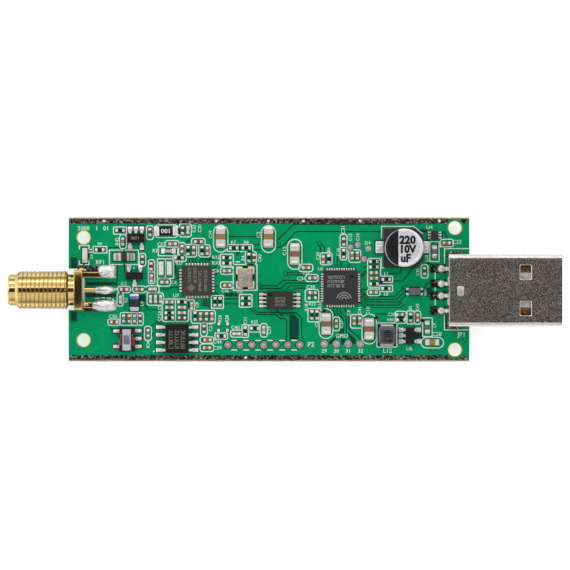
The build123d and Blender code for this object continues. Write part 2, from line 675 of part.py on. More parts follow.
with BuildPart() as capacitor_roll:
    with BuildSketch(TOP.offset(1.95)):
        with Locations(BULK_CAPACITOR):
            Circle(CAN_RADIUS - 0.45)
            Circle(0.5, mode=Mode.SUBTRACT)
    extrude(amount=3.3)
finish(capacitor_roll.part, "bulk_capacitor_roll")

# ---------------------------------------------------------------- power inductor
with BuildPart() as power_inductor_body:
    with BuildSketch(TOP.offset(0.1)):
        with Locations(POWER_INDUCTOR):
            Rectangle(2.8, 3.0)
    extrude(amount=1.6)
    chamfer(power_inductor_body.edges().filter_by(Axis.Z), length=0.45)
    chamfer(power_inductor_body.faces().sort_by(Axis.Z)[-1].edges(), length=0.08)
finish(power_inductor_body.part, "power_inductor_body")

with BuildPart(TOP) as power_inductor_terminals:
    with Locations(POWER_INDUCTOR):
        with Locations((0, 1.35), (0, -1.35)):
            Box(2.2, 0.9, 0.1, align=ON_BOARD)
finish(power_inductor_terminals.part, "power_inductor_terminals")

# ---------------------------------------------------------------- balun
BALUN_WIRE = 0.1
WINDING_Z = 1.25
WINDING_YS = (0.35, -0.75)
with BuildPart(TOP) as balun_base:
    with Locations(BALUN):
        with Locations((0, 0, 0.1)):
            Box(2.5, 3.8, 0.35, align=ON_BOARD)
finish(balun_base.part, "balun_base")

with BuildPart(TOP) as balun_leads:
    with Locations(BALUN):
        with Locations((-1.75, 1.4), (-1.75, -1.15), (1.9, 1.45), (1.9, 0.15), (1.9, -1.15)):
            Box(1.3, 0.6, 0.1, align=ON_BOARD)
finish(balun_leads.part, "balun_leads")

with BuildPart(TOP) as balun_core:
    with Locations(BALUN):
        with Locations((0, -0.05, 0.45)):
            Box(1.35, 3.5, 1.6, align=ON_BOARD)
        with Locations(*[(0, y, WINDING_Z) for y in WINDING_YS]):
            Cylinder(0.35, 1.6, rotation=(0, 90, 0), mode=Mode.SUBTRACT)
        with Locations((0, -0.1, 1.95)):
            Box(1.05, 1.65, 0.2, align=ON_BOARD, mode=Mode.SUBTRACT)
finish(balun_core.part, "balun_core")


def winding(side, height):
    """One wire: up from a lead, through one hole of the core, back through the other, and down."""
    start = BALUN_WIRE + 0.45
    near = side * 0.95
    lead_x = side * 1.12
    middle = Vector(BOARD_X + BALUN[0], BALUN[1], BOARD_TOP_Z)
    route = [
        (lead_x, WINDING_YS[0] + 0.75, start),
        (near, WINDING_YS[0], height),
        (-near, WINDING_YS[0], height),
        (-near, WINDING_YS[1], height),
        (near, WINDING_YS[1], height),
        (lead_x, WINDING_YS[1] - 0.5, start),
    ]
    with BuildPart() as wire:
        with BuildLine() as path:
            FilletPolyline(*[middle + Vector(*point) for point in route], radius=0.2)
        with BuildSketch(Plane(origin=path.line @ 0, z_dir=path.line % 0)):
            Circle(BALUN_WIRE)
        sweep(path=path.line)
    return wire.part


with BuildPart() as balun_windings:
    add(winding(-1, WINDING_Z + 0.14))
    add(winding(1, WINDING_Z - 0.14))
finish(balun_windings.part, "balun_windings")

# ---------------------------------------------------------------- chokes and beads
with BuildPart(TOP) as antenna_choke_body:
    with Locations(ANTENNA_CHOKE):
        with Locations((0, 0, 0.08)):
            Box(1.45, 1.6, 1.25, align=ON_BOARD)
finish(antenna_choke_body.part, "antenna_choke_body")

with BuildPart(TOP) as usb_choke_body:
    with Locations(USB_CHOKE):
        with Locations((0, 0, COPPER)):
            Box(2.0, 1.2, 1.1, align=ON_BOARD)
finish(usb_choke_body.part, "usb_choke_body")

with BuildPart(TOP) as choke_terminals:
    with Locations(ANTENNA_CHOKE):
        with Locations((0, 1.08), (0, -1.08)):
            Box(1.5, 0.56, 1.2, align=ON_BOARD)
    with Locations(USB_CHOKE):
        with GridLocations(2.35, 0.8, 2, 2):
            Box(0.35, 0.4, 0.6, align=ON_BOARD)
finish(choke_terminals.part, "choke_terminals")

SURGE_PLACE = {ALONG_X: [SURGE_BEAD]}
finish(chip_bodies(SURGE_PLACE, SURGE_CHIP), "surge_bead_body")
finish(chip_bodies(FERRITE_BEADS, FERRITE_CHIP), "ferrite_bead_bodies")
surge_caps = chip_caps(SURGE_PLACE, SURGE_CHIP)
finish(gather(surge_caps, chip_caps(FERRITE_BEADS, FERRITE_CHIP)), "bead_caps")
finish(chip_bodies(CERAMIC_INDUCTORS, CERAMIC_INDUCTOR), "ceramic_inductor_bodies")
finish(chip_caps(CERAMIC_INDUCTORS, CERAMIC_INDUCTOR), "ceramic_inductor_caps")

# ---------------------------------------------------------------- status light
with BuildPart(TOP) as status_light_base:
    with Locations(STATUS_LED):
        Box(0.9, 2.5, 0.4, align=ON_BOARD)
finish(status_light_base.part, "status_light_base")

with BuildPart(TOP.offset(0.4)) as status_light_lens:
    with Locations(STATUS_LED):
        Box(0.85, 1.5, 0.55, align=ON_BOARD)
    fillet(status_light_lens.faces().sort_by(Axis.Z)[-1].edges(), radius=0.15)
finish(status_light_lens.part, "status_light_lens")

# ---------------------------------------------------------------- chip capacitors and resistors
supply_bodies = chip_bodies(SUPPLY_CAPACITORS, SUPPLY_CAPACITOR)
supply_caps = chip_caps(SUPPLY_CAPACITORS, SUPPLY_CAPACITOR)
finish(gather(supply_bodies, chip_bodies(OUTPUT_CAPACITORS, OUTPUT_CAPACITOR)), "large_capacitor_bodies")
finish(gather(supply_caps, chip_caps(OUTPUT_CAPACITORS, OUTPUT_CAPACITOR)), "large_capacitor_caps")

ALL_CAPACITORS = {turn: BROWN_CAPACITORS[turn] + PALE_CAPACITORS[turn] for turn in (ALONG_X, ALONG_Y)}
finish(chip_bodies(BROWN_CAPACITORS, SMALL_CAPACITOR), "brown_capacitor_bodies")
finish(chip_bodies(PALE_CAPACITORS, SMALL_CAPACITOR), "pale_capacitor_bodies")
finish(chip_caps(ALL_CAPACITORS, SMALL_CAPACITOR), "small_capacitor_caps")
finish(chip_bodies(RESISTORS, SMALL_RESISTOR), "resistor_bodies")
finish(chip_caps(RESISTORS, SMALL_RESISTOR), "resistor_caps")

bias_body = chip_bodies(BIAS_RESISTOR, LARGE_RESISTOR)
bias_caps = chip_caps(BIAS_RESISTOR, LARGE_RESISTOR)
finish(gather(bias_body, chip_bodies(FEED_RESISTOR, MIDDLE_RESISTOR)), "marked_resistor_bodies")
finish(gather(bias_caps, chip_caps(FEED_RESISTOR, MIDDLE_RESISTOR)), "marked_resistor_caps")
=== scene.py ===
import math
import random

import bmesh
import bpy
import numpy as np
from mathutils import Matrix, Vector, noise
from mathutils.bvhtree import BVHTree


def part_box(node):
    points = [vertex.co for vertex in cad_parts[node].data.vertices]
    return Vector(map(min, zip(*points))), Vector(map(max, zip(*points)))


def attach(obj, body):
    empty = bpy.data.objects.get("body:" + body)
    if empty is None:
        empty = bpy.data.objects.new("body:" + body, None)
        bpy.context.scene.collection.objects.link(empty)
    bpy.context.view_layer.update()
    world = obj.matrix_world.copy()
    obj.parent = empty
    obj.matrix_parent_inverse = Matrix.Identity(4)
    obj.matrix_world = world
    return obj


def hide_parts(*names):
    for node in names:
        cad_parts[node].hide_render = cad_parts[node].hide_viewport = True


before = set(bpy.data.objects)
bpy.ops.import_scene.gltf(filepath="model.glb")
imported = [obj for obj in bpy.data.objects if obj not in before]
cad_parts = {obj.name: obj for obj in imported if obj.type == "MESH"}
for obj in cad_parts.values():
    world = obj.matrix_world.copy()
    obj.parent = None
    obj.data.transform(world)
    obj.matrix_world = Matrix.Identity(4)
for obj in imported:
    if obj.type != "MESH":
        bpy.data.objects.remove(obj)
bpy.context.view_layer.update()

# Lengths below are in millimetres, measured from the middle of the board's top face.
MM = 0.001
BOARD_LOW, BOARD_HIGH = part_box("circuit_board")
ORIGIN = Vector(((BOARD_LOW.x + BOARD_HIGH.x) / 2, (BOARD_LOW.y + BOARD_HIGH.y) / 2, BOARD_HIGH.z))
HALF_LENGTH = (BOARD_HIGH.x - BOARD_LOW.x) / 2 / MM
HALF_WIDTH = (BOARD_HIGH.y - BOARD_LOW.y) / 2 / MM
THICKNESS = (BOARD_HIGH.z - BOARD_LOW.z) / MM
UNDER = -THICKNESS
# Heights of the thin layers on the board's top face, and widths of the lines in them
MASK = 0.012
INK = 0.03
SILK_LINE = 0.15
BARE_LIFT = 0.006
TRACE_LIFT = 0.008
TRACE_WIDTH = 0.19
STRIP_TOP = 0.04
# Shine of printed plastic, and a height that no part reaches
DULL_PLASTIC = 0.25
ABOVE_ALL = 9
# Both kinds of random number start from a fixed seed, so that each run gives the same shapes
chance = random.Random(28)
noise.seed_set(28)


def show(thing):
    bpy.context.scene.collection.objects.link(thing)


# ------------------------------------------------------------------ mesh tools
def box_mm(node):
    """A CAD node's lowest and highest corners, in millimetres from the board's middle."""
    low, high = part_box(node)
    return (low - ORIGIN) / MM, (high - ORIGIN) / MM


def middle(node):
    """The middle of a CAD node in X and Y."""
    return between(*box_mm(node))


def top_of(node):
    return box_mm(node)[1].z


def islands(node):
    """The lowest and highest corners of each separate solid of a CAD node, from left to right."""
    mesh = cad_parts[node].data
    flat = np.empty(len(mesh.vertices) * 3)
    mesh.vertices.foreach_get("co", flat)
    points = (flat.reshape(-1, 3) - np.array(ORIGIN)) / MM
    weld = np.unique(np.round(points, 3), axis=0, return_inverse=True)[1].ravel()
    parent = list(range(int(weld.max()) + 1))

    def root(i):
        while parent[i] != i:
            parent[i] = parent[parent[i]]
            i = parent[i]
        return i

    for edge in mesh.edges:
        parent[root(weld[edge.vertices[0]])] = root(weld[edge.vertices[1]])
    groups = {}
    for i, w in enumerate(weld):
        groups.setdefault(root(w), []).append(i)
    found = [(points[g].min(0), points[g].max(0)) for g in groups.values()]
    return sorted(found, key=lambda b: (round(float(b[0][0]), 2), round(float(b[0][1]), 2)))


def placed(x, y, turn=0.0):
    """A map from a part's own lengths to the board's, turned about Z by an angle in degrees."""
    c, s = math.cos(math.radians(turn)), math.sin(math.radians(turn))
    return lambda p: (x + p[0] * c - p[1] * s, y + p[0] * s + p[1] * c, p[2])


def between(low, high):
    """The middle of a solid in X and Y, from its lowest and highest corners."""
    return (low[0] + high[0]) / 2, (low[1] + high[1]) / 2


def span(start, side, near, far):
    """The lower and higher end of a stretch on one side of a start."""
    return sorted((start + side * near, start + side * far))


class Shape:
    """Points and faces of one piece."""

    def __init__(self):
        self.points, self.faces, self.tints = [], [], []

    def skin(self, rings, to=None, tint=0.5, loop=False):
        """Faces from ring to ring, closed at both ends or joined into a loop."""
        start, count = len(self.points), len(rings[0])
        for ring in rings:
            self.points.extend(ring if to is None else [to(p) for p in ring])
        before = len(self.faces)
        for k in range(len(rings) if loop else len(rings) - 1):
            a = start + k * count
            b = start + (k + 1) % len(rings) * count
            for i in range(count):
                j = (i + 1) % count
                self.faces.append((a + i, a + j, b + j, b + i))
        if not loop:
            last = start + (len(rings) - 1) * count
            self.faces.append(tuple(range(start + count - 1, start - 1, -1)))
            self.faces.append(tuple(range(last, last + count)))
        self.tints.extend([tint] * (len(self.faces) - before))

    def join(self, points, faces, to=None):
        """Faces made elsewhere."""
        start = len(self.points)
        self.points.extend(points if to is None else [to(p) for p in points])
        self.faces.extend(tuple(start + i for i in face) for face in faces)
        self.tints.extend([0.5] * len(faces))


def outline(x0, x1, y0, y1, radius, z, steps=3):
    """A rounded rectangle at one height, counter-clockwise."""
    least = 0.0005
    r = max(least, min(radius, (x1 - x0) / 2 - least, (y1 - y0) / 2 - least))
    ring = []
    for cx, cy, start in ((x1 - r, y1 - r, 0), (x0 + r, y1 - r, 90), (x0 + r, y0 + r, 180),
                          (x1 - r, y0 + r, 270)):
        for k in range(steps + 1):
            angle = math.radians(start + 90 * k / steps)
            ring.append((cx + r * math.cos(angle), cy + r * math.sin(angle), z))
    return ring


def inset_outline(x0, x1, y0, y1, inset, corner, z):
    return outline(x0 + inset, x1 - inset, y0 + inset, y1 - inset, corner, z)


def block(shape, x0, x1, y0, y1, z0, z1, corner=0.05, edge=0.04, to=None, tint=0.5, both=False):
    """A box with rounded upright corners and a rounded top edge."""
    rings = []
    if both:
        for k in range(3):
            inset = edge * (1 - math.sin(math.pi / 4 * k))
            height = z0 + edge * (1 - math.cos(math.pi / 4 * k))
            rings.append(inset_outline(x0, x1, y0, y1, inset, corner - inset, height))
    else:
        rings.append(outline(x0, x1, y0, y1, corner, z0))
    for k in range(4):
        inset = edge * (1 - math.cos(math.pi / 6 * k))
        height = z1 - edge * (1 - math.sin(math.pi / 6 * k))
        rings.append(inset_outline(x0, x1, y0, y1, inset, corner - inset, height))
    shape.skin(rings, to, tint)


def solder_foot(shape, x0, x1, y0, y1, height, reach, base=0.0, to=None, power=2.2):
    """Solder that wets a metal end: wide on its pad, hollow-sided, and thin where it climbs.
    reach is how far it spreads to -X, +X, -Y and +Y."""
    left, right, front, back = reach
    rings = [outline(x0 - left, x1 + right, y0 - front, y1 + back, 0.12, base)]
    for k in range(7):
        t = k / 6
        spread = (1 - t) ** power
        rings.append(
            outline(
                x0 - left * spread,
                x1 + right * spread,
                y0 - front * spread,
                y1 + back * spread,
                0.05 + 0.07 * spread,
                base + 0.03 + (height - 0.03) * t,
            )
        )
    shape.skin(rings, to)


def lathe(shape, profile, x, y, steps=48, loop=False):
    """A turned shape on an upright axis, from (radius, height) pairs that climb."""
    rings = []
    for radius, z in profile:
        turns = [2 * math.pi * i / steps for i in range(steps)]
        rings.append([(x + radius * math.cos(a), y + radius * math.sin(a), z) for a in turns])
    shape.skin(rings, loop=loop)


def ribbon(shape, path, width, z0, z1, closed=False):
    """A flat raised line with mitred corners."""
    points = [Vector(p[:2]) for p in path]
    count = len(points)
    rings = []
    for i, p in enumerate(points):
        before = points[i - 1] if closed or i else None
        after = points[(i + 1) % count] if closed or i < count - 1 else None
        a = (p - before).normalized() if before is not None else (after - p).normalized()
        b = (after - p).normalized() if after is not None else a
        normal = Vector((-(a + b).y, (a + b).x)).normalized()
        offset = normal * width / 2 / max(0.5, normal.dot(Vector((-a.y, a.x))))
        if before is None:
            p = p - a * width / 2
        if after is None:
            p = p + b * width / 2
        left, right = p + offset, p - offset
        rings.append([(left.x, left.y, z0), (left.x, left.y, z1), (right.x, right.y, z1),
                      (right.x, right.y, z0)])
    shape.skin(rings, loop=closed)


def pillow(shape, x0, x1, y0, y1, z0, z1, round_off=0.3, crown=0.35, corner=0.12, to=None):
    """A wetted metal end: rounded all over, with a crowned top."""
    side = min(x1 - x0, y1 - y0) * round_off
    drop = (z1 - z0) * crown
    rings = [inset_outline(x0, x1, y0, y1, 0.02, corner, z0)]
    for k in range(6):
        angle = math.pi / 2 * k / 5
        inset = side * (1 - math.cos(angle))
        height = z1 - drop * (1 - math.sin(angle))
        rings.append(inset_outline(x0, x1, y0, y1, inset, max(corner, inset * 0.9), height))
    shape.skin(rings, to)


def tube(shape, path, radius, steps=8):
    """A round wire along a path of 3-D points."""
    points = [Vector(p) for p in path]
    rings = []
    for i, p in enumerate(points):
        along = (points[min(i + 1, len(points) - 1)] - points[max(i - 1, 0)]).normalized()
        side = along.cross(Vector((0.31, 0.22, 0.93))).normalized()
        up = side.cross(along)
        turns = [2 * math.pi * k / steps for k in range(steps)]
        rings.append([tuple(p + radius * (math.cos(a) * side + math.sin(a) * up)) for a in turns])
    shape.skin(rings)


def mound(shape, stations, seed, base=0.0, wobble=0.07, rise=1):
    """A lump of solder along X. A station is (x, middle in Y, half width, height)."""
    columns = list(zip(*stations))
    rings = []
    for x in np.linspace(columns[0][0], columns[0][-1], 30):
        y, half, height = (float(np.interp(x, columns[0], column)) for column in columns[1:])
        ring = []
        for k in range(22):
            angle = math.pi * k / 21
            p = Vector((float(x), y + half * math.cos(angle), height * math.sin(angle) ** 0.5))
            grip = min(1.0, p.z / 0.4)
            p += noise.noise_vector(p * 1.9 + Vector((seed, 0, 0))) * wobble * (0.5 + grip)
            p += noise.noise_vector(p * 5.5 + Vector((0, seed, 0))) * wobble * 0.35 * grip
            ring.append((p.x, p.y, base + rise * max(0.0, p.z)))
        rings.append(ring if rise > 0 else ring[::-1])
    shape.skin(rings)


def drape(shape, under, path, radius, steps=7):
    """A thin line that lies on the top of another shape."""
    tree = BVHTree.FromPolygons([Vector(p) for p in under.points], under.faces)
    for (x0, y0), (x1, y1) in zip(path, path[1:]):
        line = []
        for t in np.linspace(0, 1, steps):
            x, y = x0 + (x1 - x0) * t, y0 + (y1 - y0) * t
            hit = tree.ray_cast(Vector((x, y, ABOVE_ALL)), Vector((0, 0, -1)))[0]
            line.append((x, y, hit.z if hit else 0.0))
        tube(shape, line, radius)


def drop(shape, x, y, radius, height, seed, base=0.0, flat=0.75, wobble=0.04, rise=1):
    """A round drop of solder that has set on a pad."""
    rings = []
    for k in range(9):
        angle = math.pi / 2 * k / 8
        ring = []
        for i in range(20):
            turn = 2 * math.pi * i / 20
            r = radius * (math.cos(angle) ** flat if k < 8 else 0.03)
            p = Vector((x + r * math.cos(turn), y + r * math.sin(turn), height * math.sin(angle)))
            p += noise.noise_vector(p * 3.0 + Vector((seed, seed, 0))) * wobble
            ring.append((p.x, p.y, base + rise * max(0.0, p.z)))
        rings.append(ring if rise > 0 else ring[::-1])
    shape.skin(rings)


def disc(shape, x, y, radius, z0, z1, inner=0.0, steps=20):
    """A flat disc, or a ring when it has an inner radius."""
    if inner:
        lathe(shape, [(radius, z0), (radius, z1), (inner, z1), (inner, z0)], x, y, steps, loop=True)
    else:
        lathe(shape, [(radius, z0), (radius, z1)], x, y, steps)


FONT_CAPITAL = 0.73
glyphs = {}


def letters(shape, text, x, y, size, turn=0.0, z=0.0, height=INK, bold=0.002, wide=1.0):
    """Raised lettering, centred on a point. Size is the height of a capital in millimetres."""
    key = (text, bold)
    if key not in glyphs:
        curve = bpy.data.curves.new("lettering", "FONT")
        curve.body = text
        curve.size = 1.0
        curve.offset = bold
        curve.resolution_u = 2
        curve.extrude = 0.5
        curve.align_x = "CENTER"
        thing = bpy.data.objects.new("lettering", curve)
        show(thing)
        mesh = bpy.data.meshes.new_from_object(thing.evaluated_get(bpy.context.evaluated_depsgraph_get()))
        glyphs[key] = ([tuple(v.co) for v in mesh.vertices], [tuple(p.vertices) for p in mesh.polygons])
        bpy.data.objects.remove(thing)
        bpy.data.curves.remove(curve)
        bpy.data.meshes.remove(mesh)
    points, faces = glyphs[key]
    if not points:
        return
    scale = size / FONT_CAPITAL
    rise = (max(p[1] for p in points) + min(p[1] for p in points)) / 2
    solid = [(p[0] * scale * wide, (p[1] - rise) * scale, z + height * (p[2] + 0.5)) for p in points]
    shape.join(solid, faces, placed(x, y, turn))


def piece(name, shape, material, replaces=(), smooth=38):
    """Makes a shape into an object that rides on the board."""
    mesh = bpy.data.meshes.new(name)
    mesh.from_pydata([ORIGIN + Vector(p) * MM for p in shape.points], [], shape.faces)
    tint = mesh.attributes.new("tint", "FLOAT", "FACE")
    tint.data.foreach_set("value", np.array(shape.tints, np.float32))
    mesh.validate()
    mesh.shade_smooth()
    mesh.set_sharp_from_angle(angle=math.radians(smooth))
    thing = bpy.data.objects.new(name, mesh)
    show(thing)
    mesh.materials.append(material)
    settle(thing, replaces)


def settle(thing, replaces=()):
    """Says what body a piece rides on, and hides the CAD nodes it stands for."""
    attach(thing, "root")
    if replaces:
        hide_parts(*replaces)


def softened(node, material, edge, segments=2):
    """A copy of a CAD node with its edges rounded, which stands for that node."""
    work = bmesh.new()
    work.from_mesh(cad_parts[node].data)
    bmesh.ops.remove_doubles(work, verts=work.verts, dist=1e-7)
    bmesh.ops.dissolve_limit(work, angle_limit=math.radians(1), verts=work.verts, edges=work.edges)
    mesh = bpy.data.meshes.new(node + "_finished")
    work.to_mesh(mesh)
    work.free()
    mesh.materials.clear()
    mesh.materials.append(material)
    thing = bpy.data.objects.new(node + "_finished", mesh)
    show(thing)
    if edge:
        bevel = thing.modifiers.new("edges", "BEVEL")
        bevel.width = edge * MM
        bevel.segments = segments
        bevel.limit_method = "ANGLE"
        bevel.angle_limit = math.radians(50)
        bevel.use_clamp_overlap = True
        bevel.harden_normals = False
    mesh.shade_smooth()
    mesh.set_sharp_from_angle(angle=math.radians(35))
    settle(thing, (node,))


# ------------------------------------------------------------------ materials
def colour(r, g, b):
    """A colour given as it looks on a screen, 0 to 255, turned to linear light."""
    return tuple((c / 255 / 12.92) if c < 10.3 else ((c / 255 + 0.055) / 1.055) ** 2.4
                 for c in (r, g, b)) + (1,)


def grey(level):
    return (level, level, level, 1)


def feed(tree, socket, value):
    """Sets a socket to a number or colour, or links it to another node's output."""
    if isinstance(value, bpy.types.NodeSocket):
        tree.links.new(value, socket)
    else:
        socket.default_value = value


def ramp_node(tree, factor, stops):
    node = tree.nodes.new("ShaderNodeValToRGB")
    elements = node.color_ramp.elements
    while len(elements) < len(stops):
        elements.new(0.5)
    for element, (place, shade) in zip(elements, stops):
        element.position = place
        element.color = shade
    tree.links.new(factor, node.inputs["Fac"])
    return node.outputs["Color"]


class Maker:
    """Builds the nodes of one material. Pattern sizes are in millimetres."""

    def __init__(self, name):
        self.material = bpy.data.materials.new(name)
        self.material.use_nodes = True
        self.tree = self.material.node_tree
        self.shader = self.tree.nodes["Principled BSDF"]
        self.coords = self.tree.nodes.new("ShaderNodeTexCoord").outputs["Object"]

    def noise(self, size, detail=3.0, stretch=(1, 1, 1)):
        source = self.coords
        if stretch != (1, 1, 1):
            mapping = self.tree.nodes.new("ShaderNodeMapping")
            mapping.inputs["Scale"].default_value = stretch
            self.tree.links.new(source, mapping.inputs["Vector"])
            source = mapping.outputs["Vector"]
        texture = self.tree.nodes.new("ShaderNodeTexNoise")
        texture.inputs["Scale"].default_value = 1 / (size * MM)
        texture.inputs["Detail"].default_value = detail
        self.tree.links.new(source, texture.inputs["Vector"])
        return texture.outputs["Fac"]

    def facing(self, axis):
        """How far the surface faces along an axis of the object, either way: 0 to 1."""
        geometry = self.tree.nodes.new("ShaderNodeNewGeometry")
        split = self.tree.nodes.new("ShaderNodeSeparateXYZ")
        self.tree.links.new(geometry.outputs["Normal"], split.inputs["Vector"])
        size = self.tree.nodes.new("ShaderNodeMath")
        size.operation = "ABSOLUTE"
        self.tree.links.new(split.outputs[axis], size.inputs[0])
        return size.outputs[0]

    def tint(self):
        attribute = self.tree.nodes.new("ShaderNodeAttribute")
        attribute.attribute_name = "tint"
        return attribute.outputs["Fac"]

    def ramp(self, factor, stops):
        return ramp_node(self.tree, factor, stops)

    def blotches(self, size, low, high, detail=4.0, edge=0.3, stretch=(1, 1, 1)):
        """Two shades spread by noise, either side of its middle."""
        return self.ramp(self.noise(size, detail, stretch), [(edge, low), (1 - edge, high)])

    def spread(self, factor, low, high, start=0.3, end=0.7):
        node = self.tree.nodes.new("ShaderNodeMapRange")
        for key, value in (("From Min", start), ("From Max", end), ("To Min", low), ("To Max", high)):
            node.inputs[key].default_value = value
        self.tree.links.new(factor, node.inputs["Value"])
        return node.outputs["Result"]

    def mix(self, factor, a, b, how="MIX"):
        node = self.tree.nodes.new("ShaderNodeMix")
        node.data_type = "RGBA"
        node.blend_type = how
        for key, value in ((0, factor), (6, a), (7, b)):
            feed(self.tree, node.inputs[key], value)
        return node.outputs[2]

    def bump(self, height, strength, depth):
        node = self.tree.nodes.new("ShaderNodeBump")
        node.inputs["Strength"].default_value = strength
        node.inputs["Distance"].default_value = depth * MM
        self.tree.links.new(height, node.inputs["Height"])
        self.tree.links.new(node.outputs["Normal"], self.shader.inputs["Normal"])

    def set(self, **values):
        for key, value in values.items():
            feed(self.tree, self.shader.inputs[key.replace("_", " ")], value)
        return self.material


def plain_surface(name, light, dark, size, rough, metal=0.0, bump=0.3, grain=0.05, depth=0.01, coat=0.0,
                  stretch=(1, 1, 1)):
    """Two close shades spread by noise, uneven gloss, and a fine grain."""
    make = Maker(name)
    shade = make.blotches(size, colour(*dark), colour(*light), 4, 0.3, stretch)
    gloss = make.spread(make.noise(size * 0.6, 3, stretch), rough[0], rough[1])
    make.bump(make.noise(grain, 4, stretch), bump, depth)
    return make.set(Base_Color=shade, Roughness=gloss, Metallic=metal, Coat_Weight=coat)


def tinted_surface(name, shades, size, rough):
    """Alike parts in several shades: each part's own number picks its shade."""
    make = Maker(name)
    stops = [(i / (len(shades) - 1), colour(*shade)) for i, shade in enumerate(shades)]
    mottle = make.blotches(size, grey(0.72), grey(1), 4, 0.25)
    shade = make.mix(1.0, make.ramp(make.tint(), stops), mottle, "MULTIPLY")
    gloss = make.spread(make.noise(size * 0.7), rough[0], rough[1])
    make.bump(make.noise(size * 0.4, 4), 0.2, 0.01)
    return make.set(Base_Color=shade, Roughness=gloss)


def board_surface():
    """Solder mask on the faces, plated metal on the long sides, bare laminate at the ends and in holes."""
    make = Maker("board_mask")
    cloud = make.noise(6.0, 5)
    weave = make.noise(0.25, 2)
    green = make.mix(0.35, make.ramp(cloud, [(0.3, GREEN_LOW), (0.7, GREEN_HIGH)]),
                     make.ramp(weave, [(0.35, GREEN_LOW), (0.65, GREEN_HIGH)]))
    glass = make.blotches(0.12, colour(150, 140, 84), colour(196, 188, 130), 3, 0.3, (0.2, 0.2, 1))
    plated = make.blotches(0.8, colour(150, 128, 78), colour(214, 196, 146))
    long_side = make.spread(make.facing("Y"), 0.0, 1.0, 0.88, 0.9)
    level = make.spread(make.facing("Z"), 0.0, 1.0, 0.58, 0.6)
    shade = make.mix(level, make.mix(long_side, glass, plated), green)
    gloss = make.spread(make.noise(2.0), 0.2, 0.3)
    make.bump(weave, 0.12, 0.01)
    return make.set(Base_Color=shade, Roughness=gloss, Specular_IOR_Level=0.22)


GREEN_HIGH = colour(0, 159, 102)
GREEN_LOW = colour(0, 145, 92)

mask = board_surface()
dark_mask = plain_surface("bare_laminate_mask", (0, 70, 54), (0, 60, 46), 0.6, (0.22, 0.34), 0, 0.15, 0.3)
trace_mask = plain_surface("trace_edge_mask", (0, 62, 45), (0, 48, 35), 0.6, (0.22, 0.34), 0, 0.15, 0.3)
gap_mask = plain_surface("pad_clearance_mask", (0, 62, 47), (0, 40, 31), 0.4, (0.22, 0.34), 0, 0.15, 0.3)
silk = plain_surface("silkscreen_ink", (240, 250, 246), (216, 234, 226), 0.4, (0.55, 0.7), 0, 0.3, 0.08)
gold = plain_surface("gold_plate", (234, 206, 142), (216, 182, 108), 0.8, (0.09, 0.16), 1.0, 0.1, 0.1)
pale_gold = plain_surface("pale_gold_edge", (226, 212, 178), (198, 180, 136), 0.6, (0.3, 0.45), 1.0)
solder = plain_surface("bright_solder", (250, 249, 248), (222, 221, 220), 0.3, (0.25, 0.42), 0.6, 0.35,
                       0.16, 0.02)
chip_metal = plain_surface("chip_end_solder", (250, 248, 245), (224, 221, 218), 0.2, (0.35, 0.5), 0.35, 0.4,
                           0.1, 0.015)
white_solder = plain_surface("white_solder", (255, 254, 251), (238, 236, 232), 0.2, (0.4, 0.55), 0.2, 0.3,
                             0.1)
lead_metal = plain_surface("tinned_leads", (248, 246, 243), (214, 212, 209), 0.3, (0.35, 0.5), 0.5, 0.25,
                           0.08, 0.01)
pad_metal = plain_surface("dull_pad_solder", (206, 203, 204), (158, 154, 156), 0.3, (0.4, 0.6), 0.4, 0.5,
                          0.12, 0.03)
rim_gold = plain_surface("hole_rim_gold", (216, 186, 92), (186, 152, 66), 0.3, (0.35, 0.5), 0.6)
# Brown for the strips seen through the plug's windows: painted shade for the dark cavity there
window_shade_brown = plain_surface("window_strip_painted_shade", (176, 138, 100), (112, 84, 58), 0.5, (0.2, 0.35), 0.7, 0.2,
                             0.1)
cap_cream = plain_surface("cap_top_tin", (226, 222, 212), (196, 191, 181), 0.25, (0.4, 0.55), 0.3, 0.3, 0.1)
flux = plain_surface("dark_flux", (58, 50, 46), (30, 26, 25), 0.2, (0.3, 0.5), 0, 0.3, 0.1)
ring_metal = plain_surface("dark_pad_ring", (62, 54, 52), (40, 35, 34), 0.3, (0.3, 0.5), 0.8, 0.3, 0.1)
moulding = plain_surface("chip_moulding", (52, 52, 54), (43, 43, 45), 0.18, (0.5, 0.65), 0, 0.5, 0.05,
                         0.008)
warm_moulding = plain_surface("warm_chip_moulding", (64, 63, 60), (54, 53, 50), 0.18, (0.5, 0.65), 0, 0.5,
                              0.05, 0.008)
dark_moulding = plain_surface("dark_chip_moulding", (26, 26, 27), (18, 18, 19), 0.18, (0.42, 0.55), 0, 0.5,
                              0.05, 0.008)
black_plastic = plain_surface("black_plastic", (38, 38, 42), (26, 26, 29), 0.4, (0.4, 0.55), 0, 0.4, 0.08,
                              0.01)
marking = plain_surface("grey_marking", (162, 160, 158), (128, 126, 125), 0.15, (0.5, 0.7), 0, 0.2, 0.05)
dim_marking = plain_surface("dim_marking", (138, 135, 128), (106, 104, 98), 0.15, (0.5, 0.7), 0, 0.2, 0.05)
black_ink = plain_surface("black_ink", (22, 22, 24), (14, 14, 16), 0.2, (0.35, 0.5), 0, 0.2, 0.05)
for surface in (moulding, warm_moulding, dark_moulding, black_ink):
    surface.node_tree.nodes["Principled BSDF"].inputs["Specular IOR Level"].default_value = DULL_PLASTIC
white_ink = plain_surface("white_ink", (220, 220, 218), (196, 196, 196), 0.2, (0.5, 0.7), 0, 0.2, 0.05)
white_plastic = plain_surface("white_insulator", (224, 222, 218), (208, 206, 202), 0.8, (0.35, 0.5), 0, 0.2,
                              0.1)
grey_plastic = plain_surface("usb_insulator_plastic", (226, 224, 216), (200, 198, 190), 0.8, (0.35, 0.5), 0,
                             0.3, 0.1)
white_ceramic = plain_surface("white_ceramic", (232, 229, 224), (206, 202, 196), 0.3, (0.35, 0.5), 0, 0.3,
                              0.1)
